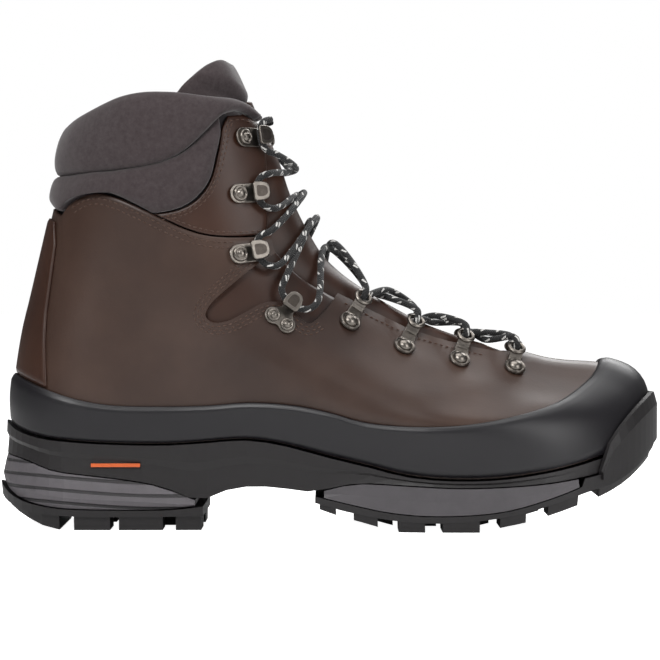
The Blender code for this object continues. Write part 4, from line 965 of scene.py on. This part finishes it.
def visible_lining(mat):
    start = float(place(113, 77.1)[1])

    def edge(v):
        wide = phi_at_width(v, tongue_width(v) + 1.2)
        return np.where(v < start, math.pi, np.where(v < start + 0.03, math.pi + (wide - math.pi)
                        * np.clip((v - start) / 0.03, 0, 1) ** 0.5, wide))

    rows = np.concatenate([np.linspace(0, start, 8), np.linspace(start + 0.03, 0.97, 26), [0.985, 0.995, 1]])
    low = spline(BOARD_TOP)
    phi, v = upper_grid(lambda p: level_of(low, p), lambda p: np.full_like(p, 0.985), 97, rows, edge)
    d_in = np.minimum(-6.0, lining_depth(np.abs(phi), v) - 1.6)
    obj = skin_sheet("lining_sock", phi, v, lining_depth(np.abs(phi), v) + 0.3, d_in, mat)
    show(obj, "lining_textile", "bends", "lining")


# ---- hardware ----


def prism(name, frame, outline_, n0, n1, mat, edge=0.35, segments=2):
    """A flat plate of this outline in the seat's plane, its edges rounded."""
    m = len(outline_)
    local = [(u, w, n) for n in (n0, n1) for u, w in outline_]
    faces = [list(range(m))[::-1], list(range(m, 2 * m))]
    faces += [[i, (i + 1) % m, (i + 1) % m + m, i + m] for i in range(m)]
    return bevel(piece(name, in_seat(frame, local), faces, mat), edge, segments, 30)


def side_block(name, frame, profile, half, mat, edge, angle):
    """A solid of this side profile, as (along, up), that reaches half to each side of the seat's middle."""
    local = [(u, s * half, n) for s in (-1, 1) for u, n in profile]
    return bevel(piece(name, in_seat(frame, local), prism_faces(len(profile)), mat), edge, 2, angle)


def oval(u0, u1, w, n=12):
    """A long hole's outline from u0 to u1, 2w wide."""
    a = np.linspace(-math.pi / 2, math.pi / 2, n)
    front = [(u1 - w + w * math.cos(b), w * math.sin(b)) for b in a]
    back = [(u0 + w - w * math.cos(b), -w * math.sin(b)) for b in a]
    return front + back


def shield(u0, u1, w):
    """The outline of a hook's head: straight at the back, rounded and slightly narrower at the front."""
    half = [(u0, w * 0.62), (u0 + 0.25, w * 0.86), (u0 + 1.2, w), (u0 + (u1 - u0) * 0.55, w * 0.97),
            (u0 + (u1 - u0) * 0.8, w * 0.82), (u0 + (u1 - u0) * 0.93, w * 0.58), (u1 - 0.1, w * 0.3)]
    return [(u, -x) for u, x in half] + [(u, x) for u, x in half[::-1]]


def lathe(name, frame, profile, mat, at=(0.0, 0.0), steps=28):
    """A turned piece on the seat's normal: (radius, height) pairs from the rim to the middle."""
    verts = [(at[0] + r * math.cos(a), at[1] + r * math.sin(a), n)
             for r, n in profile for a in np.linspace(0, 2 * math.pi, steps, endpoint=False)]
    m = len(profile)
    faces = [[k * steps + i, k * steps + (i + 1) % steps, (k + 1) * steps + (i + 1) % steps, (k + 1) * steps + i]
             for k in range(m - 1) for i in range(steps)]
    faces += [list(range(steps))[::-1], [(m - 1) * steps + i for i in range(steps)]]
    return piece(name, in_seat(frame, verts), faces, mat)


def rivet_profile(radius, base, height):
    """A hollow rivet's domed head."""
    shares = [(1, 0), (1, 0.35), (0.93, 0.62), (0.78, 0.72), (0.66, 0.62), (0.60, 0.40), (0.52, 0.42), (0.42, 0.85),
              (0.25, 0.98)]
    return [(radius * r, base + height * h) for r, h in shares] + [(0.05, base + height)]


def joined(name, parts):
    """One object from several meshes."""
    bm = bmesh.new()
    for obj in parts:
        seen = obj.evaluated_get(bpy.context.evaluated_depsgraph_get())
        data = bpy.data.meshes.new_from_object(seen)
        bm.from_mesh(data)
        bpy.data.meshes.remove(data)
    data = bpy.data.meshes.new(name)
    bm.to_mesh(data)
    bm.free()
    for mat in parts[0].data.materials:
        data.materials.append(mat)
    made = placed(name, data)
    for obj in parts:
        bpy.data.objects.remove(obj)
    return made


def clover_plate(width, reach):
    """Two round feet side by side and a narrow neck that runs forward from between them."""
    turns = ((-3.7, np.linspace(-0.35, -3.9, 16)), (3.7, np.linspace(3.9, 0.35, 16)))
    feet = [(-1.0 + 4.1 * math.cos(a), middle + 4.1 * math.sin(a)) for middle, turn in turns for a in turn]
    return feet + [(5.0, width * 0.75), (reach + 0.2, width * 0.8), (reach + 0.4, 0), (reach + 0.2, -width * 0.8),
                   (5.0, -width * 0.75)]


def visible_hook(name, frame, width, mat, dark, clover=False, sunk=0.7):
    """Plate, arm and hooded head, and apart from them a thin dark plate of painted shade in the head's hollow."""
    f, t, h, reach = STAND - sunk, ARM, HOOK_HEIGHT, HOOK_REACH
    outline_ = clover_plate(width, reach) if clover else oval(-5.2, reach + 0.4, width)
    plate = prism("plate", frame, outline_, f, f + t, mat, 0.4)
    profile = [(reach - 2.2, f + 0.1), (reach - 0.1, f + 0.9), (reach + 0.7, f + 2.6), (reach + 0.75, h - 1.6),
               (reach + 0.1, h - 0.2), (reach - 1.2, h - 0.2), (reach - 0.45, h - 1.7), (reach - 0.5, f + 2.8),
               (reach - 1.2, f + 1.6), (reach - 2.2, f + t)]
    arm = side_block("arm", frame, profile, width - 1.0, mat, 0.3, 30)
    head = prism("head", frame, shield(3.9, reach + 1.2, width), h - 0.75, h + 0.55, mat, 0.5, 3)
    inner = [(3.9 + 1.5 + (u - 3.9) * 0.66, x * 0.58) for u, x in shield(3.9, reach + 1.2, width)]
    obj = joined(name, [plate, arm, head])
    # Painted shade: a thin dark plate laid in the head's shield-shaped hollow, darker than the nickel where shade would
    # fall.
    recess_painted_shade = prism(name + "_recess", frame, inner, h + 0.50, h + 0.60, dark, 0.04, 1)
    return obj, recess_painted_shade


def visible_hardware(mat, dark):
    for side, where in ((-1, "outer"), (1, "inner")):
        hooks, low, loops = hardware_seats(side)
        for k, frame in enumerate(hooks, 1):
            body = "cuff" if k < 3 else "boot"
            sunk = 0.0 if k == 3 else 0.7  # the cuff leather slides under the third hooks
            obj, recess_painted_shade = visible_hook(f"speed_hook_{k}_{where}", frame, HOOK_WIDTH / 2 - 0.2, mat, dark, sunk=sunk)
            show(obj, "hardware_nickel", body, f"hook_{k}_{where}")
            show(recess_painted_shade, "hardware_nickel", body)
            rivet = lathe(f"hook_stud_{k}_{where}", frame, rivet_profile(3.7, STAND + ARM - sunk, 2.0), mat)
            show(rivet, "hardware_nickel", body, f"hook_{k}_rivet_{where}")
        obj, recess_painted_shade = visible_hook(f"speed_hook_4_{where}", low, HOOK_WIDTH / 2 - 0.6, mat, dark, clover=True)
        show(obj, "hardware_nickel", "boot", f"hook_4_{where}")
        show(recess_painted_shade, "hardware_nickel", "boot")
        for letter, w in (("a", -3.7), ("b", 3.7)):
            turned = rivet_profile(3.1, STAND + ARM - 0.7, 1.8)
            rivet = lathe(f"hook_stud_4{letter}_{where}", low, turned, mat, at=(-1.0, w))
            show(rivet, "hardware_nickel", "boot", f"hook_4_rivet_{letter}_{where}")
        for k, (frame, reach) in enumerate(loops, 1):
            show(visible_loop(f"lace_loop_{k}_{where}", frame, reach, mat), "hardware_nickel", "boot",
                 f"loop_{k}_{where}", f"loop_{k}_rivet_{where}")


def visible_loop(name, frame, reach, mat):
    """A ringed foot with its rivet, a neck, and the eye that the lace goes through."""
    base = STAND - 0.7
    back = [(5.0 * math.cos(a), 5.0 * math.sin(a)) for a in np.linspace(0.75, 2 * math.pi - 0.75, 30)]
    end = reach - EYE + 0.2
    pear = back + [(end, -3.2), (end, 3.2)]
    plate = prism("plate", frame, pear, base, base + 1.3, mat, 0.35)
    rim = lathe("rim", frame, [(4.9, base + 1.2), (4.8, base + 1.7), (4.35, base + 1.75), (4.2, base + 1.2)], mat)
    foot = lathe("foot", frame, [(3.5, base + 1.0), (3.5, base + 1.6), (3.2, base + 2.3), (2.6, base + 2.95),
                                 (1.8, base + 3.4), (0.9, base + 3.65), (0.05, base + 3.7)], mat)
    side = [(end - 3.4, base + 0.4), (end - 1.2, base + 0.6), (end + 0.6, EYE_HEIGHT - 0.9),
            (end + 0.6, EYE_HEIGHT + 0.7), (end - 1.4, base + 2.0), (end - 3.4, base + 1.2)]
    neck = side_block("neck", frame, side, 3.1, mat, 0.4, 25)
    verts, around, section = [], 36, 12
    for a in np.linspace(0, 2 * math.pi, around, endpoint=False):
        for b in np.linspace(0, 2 * math.pi, section, endpoint=False):
            r = EYE + 1.15 * math.cos(b)
            verts.append((reach + r * math.cos(a), r * math.sin(a), EYE_HEIGHT + 1.05 * math.sin(b)))
    faces = [[i * section + j, ((i + 1) % around) * section + j, ((i + 1) % around) * section + (j + 1) % section,
              i * section + (j + 1) % section] for i in range(around) for j in range(section)]
    eye = piece("eye", in_seat(frame, verts), faces, mat)
    return joined(name, [plate, rim, foot, neck, eye])


# ---- the lace ----


def round_tube(name, path, radius, mat, sides=14, step=0.9):
    line = spline(path, 14)
    length = np.linalg.norm(np.diff(line, axis=0), axis=1).sum()
    line = walk(line, np.linspace(0, 1, int(length / step)))
    tangent = np.gradient(line, axis=0)
    tangent /= np.linalg.norm(tangent, axis=1, keepdims=True)
    along = np.concatenate([[0], np.cumsum(np.linalg.norm(np.diff(line, axis=0), axis=1))])
    normal, verts, uvs = np.cross(tangent[0], (0.3, 0.2, 0.9)), [], []
    for p, t, u in zip(line, tangent, along):
        normal = normal - t * (normal @ t)
        normal /= np.linalg.norm(normal)
        across = np.cross(t, normal)
        for k, a in enumerate(np.linspace(0, 2 * math.pi, sides + 1)):
            verts.append(p + radius * (math.cos(a) * normal + math.sin(a) * across))
            uvs.append((u, k / sides))
    m, n = len(line), sides + 1
    faces = [[k * n + i, k * n + i + 1, (k + 1) * n + i + 1, (k + 1) * n + i]
             for k in range(m - 1) for i in range(sides)]
    return piece(name, verts, faces, mat, uvs=uvs)


def visible_lace(mat):
    low, _ = lace_strand(-1, 0.0)
    high, _ = lace_strand(1, 3.4)
    path = low[::-1] + [ridge_point(float(place(84, 82.6)[1]), 2.2)] + high
    show(round_tube("lace_cord", path, 1.55, mat), "lace_cord", "bends", "lace")


# ---- stitched seams ----


def visible_stitching(mat):
    top = shifted(QUARTER_TOP[2:-2], -2.4)
    second = shifted(QUARTER_TOP[2:-2], -4.9)
    round_notch = spline(NOTCH, 4)[4:44]
    around = [shifted(round_notch, -out) for out in (1.8, 3.6, 5.2)]
    edge = [(x - 1.2, z - 2.8) for x, z in THROAT[7:-1]]
    rows = [(line, 0) for line in (top, second, *around, edge)]
    show(stitches("leather_thread", rows, mat), "main_leather", "bends")
    lines = ((CUFF_REAR[1:], -1.5), (CUFF_REAR[1:], -3.0), (CUFF_TOP, -2.2), (CUFF_BOTTOM[1:], 1.6))
    rows = [(shifted(line, by), -0.35) for line, by in lines]
    show(stitches("cuff_thread", rows, mat), "trim_leather", "cuff")


# ---- the sole's looks ----


def dress(frame, node, mat, edge=0.0):
    obj = frame["nodes"][node]
    obj.data.materials.clear()
    obj.data.materials.append(mat)
    if edge:
        bevel(obj, edge, 2, 35)


def aimed(name, data, at, aim):
    obj = placed(name, data)
    obj.location = at
    obj.rotation_euler = (Vector(aim) - Vector(at)).to_track_quat("-Z", "Y").to_euler()
    return obj


def light(name, at, aim, size, power, color=(1, 1, 1)):
    data = bpy.data.lights.new(name, "AREA")
    data.shape, data.size, data.size_y, data.energy, data.color = "RECTANGLE", size[0], size[1], power, color
    aimed(name, data, at, aim)


def to_camera(tree, elsewhere):
    """One for what the camera sees, and less for the light that falls elsewhere."""
    ray = add(tree, "ShaderNodeLightPath").outputs["Is Camera Ray"]
    return add(tree, "ShaderNodeMapRange", Value=ray, **{"To Min": elsewhere, "To Max": 1.0}).outputs["Result"]


def studio():
    """A pale floor, soft light from above and both sides, and a white surround."""
    data = bpy.data.meshes.new("floor")
    s = 6.0
    data.from_pydata([(-s, -s, 0), (s, -s, 0), (s, s, 0), (-s, s, 0)], [], [(0, 1, 2, 3)])
    floor = placed("floor", data)
    mat, tree, shader = nodes_of("floor")
    put(tree, shader, Roughness=0.9, **{"Base Color": (0.9, 0.9, 0.9, 1), "Emission Color": (1, 1, 1, 1),
                                        "Emission Strength": to_camera(tree, 0.05)})
    data.materials.append(mat)
    floor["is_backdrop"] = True
    world = bpy.data.worlds.new("surround")
    bpy.context.scene.world = world
    world.use_nodes = True
    tree = world.node_tree
    put(tree, tree.nodes["Background"], Color=(1, 1, 1, 1), Strength=to_camera(tree, 0.10))
    light("key", (-0.55, -1.0, 1.0), (-0.02, 0, 0.1), (0.7, 0.5), 13)
    light("front", (0.9, -0.9, 0.5), (0.05, 0, 0.06), (0.5, 0.8), 6)
    light("rim", (0.5, 0.9, 0.9), (0, 0, 0.1), (0.8, 0.5), 9)
    light("top", (0.0, -0.1, 1.3), (0, 0, 0.1), (1.2, 0.8), 9)


def camera():
    """A long lens level with the boot's middle, looking at its outer side."""
    distance, width = 1.6, 0.3102
    data = bpy.data.cameras.new("camera")
    data.sensor_width = 36
    data.lens = 36 * distance / width
    data.clip_end = 20
    rise, middle = math.radians(1.2), 0.0912
    at = (0, -distance * math.cos(rise), middle + distance * math.sin(rise))
    bpy.context.scene.camera = aimed("camera", data, at, (0, 0, middle))


def remember(corners, name):
    return {name: [[round(c, 5) for c in corner] for corner in corners]}


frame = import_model()
boxes = remember(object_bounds(), "cad_box_m")

BROWN = leather("main leather", (0.026, 0.0125, 0.0085), (0.064, 0.036, 0.026), 0.38)
RED = leather("trim leather", (0.022, 0.0072, 0.0036), (0.047, 0.0185, 0.0098), 0.4, 0.8)
NUBUCK = textile("padding", (0.030, 0.021, 0.022), (0.060, 0.047, 0.049))
KNIT = textile("lining", (0.018, 0.016, 0.017), (0.036, 0.032, 0.034), 2200.0, 0.15)
FOOTBED = textile("footbed", (0.02, 0.02, 0.022), (0.045, 0.045, 0.05), 1800.0, 0.1)
RAND_LOOK = rubber("rand rubber", (0.0052, 0.0044, 0.0062), 0.42, 0.3)
MIDSOLE_LOOK = rubber("midsole rubber", (0.0075, 0.006, 0.0066), 0.48, 0.35)
TREAD_LOOK = rubber("tread rubber", (0.0065, 0.0052, 0.0058), 0.55, 0.4)
# Its grooves carry painted shade.
CUSHION_LOOK = grooved("cushion foam", (0.085, 0.078, 0.085), 0.0058, 0.03)
INSERT_LOOK = rubber("insert foam", (0.060, 0.055, 0.060), 0.55, 0.25)
ORANGE = rubber("orange inlay", (0.55, 0.10, 0.02), 0.5, 0.1)
NICKEL = metal("nickel", (0.25, 0.225, 0.20), 0.33)
# Painted shade: the darker nickel of the plates in the hook heads' hollows.
NICKEL_PAINTED_SHADE = metal("nickel shade", (0.10, 0.085, 0.075), 0.42)
CORD = cord_look("cord")
THREAD = textile("thread", (0.065, 0.034, 0.024), (0.12, 0.07, 0.052), 3000.0, 0.1)

visible_leather(BROWN)
visible_rand(RAND_LOOK)
visible_backstay(RED)
visible_panels(RED)
visible_collar(NUBUCK)
visible_tongue(NUBUCK, RED)
visible_lining(KNIT)
visible_hardware(NICKEL, NICKEL_PAINTED_SHADE)
visible_lace(CORD)
visible_stitching(THREAD)

for node, mat, edge in (("midsole", MIDSOLE_LOOK, 0.5), ("heel_cushion", CUSHION_LOOK, 0.4),
                        ("forefoot_cushion", INSERT_LOOK, 0.4), ("outsole_heel", TREAD_LOOK, 0.5),
                        ("outsole_forefoot", TREAD_LOOK, 0.5), ("cushion_bar_outer", ORANGE, 0.1),
                        ("cushion_bar_inner", ORANGE, 0.1), ("footbed", FOOTBED, 0.8), ("insole_board", KNIT, 0.0),
                        ("shank", NICKEL, 0.0), ("heel_counter", KNIT, 0.0), ("toe_puff", KNIT, 0.0)):
    dress(frame, node, mat, edge)

studio()
camera()
scene = bpy.context.scene
scene.view_settings.view_transform = "Standard"
scene.render.resolution_x = scene.render.resolution_y = 660

boxes.update(remember(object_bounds(), "visual_box_m"))
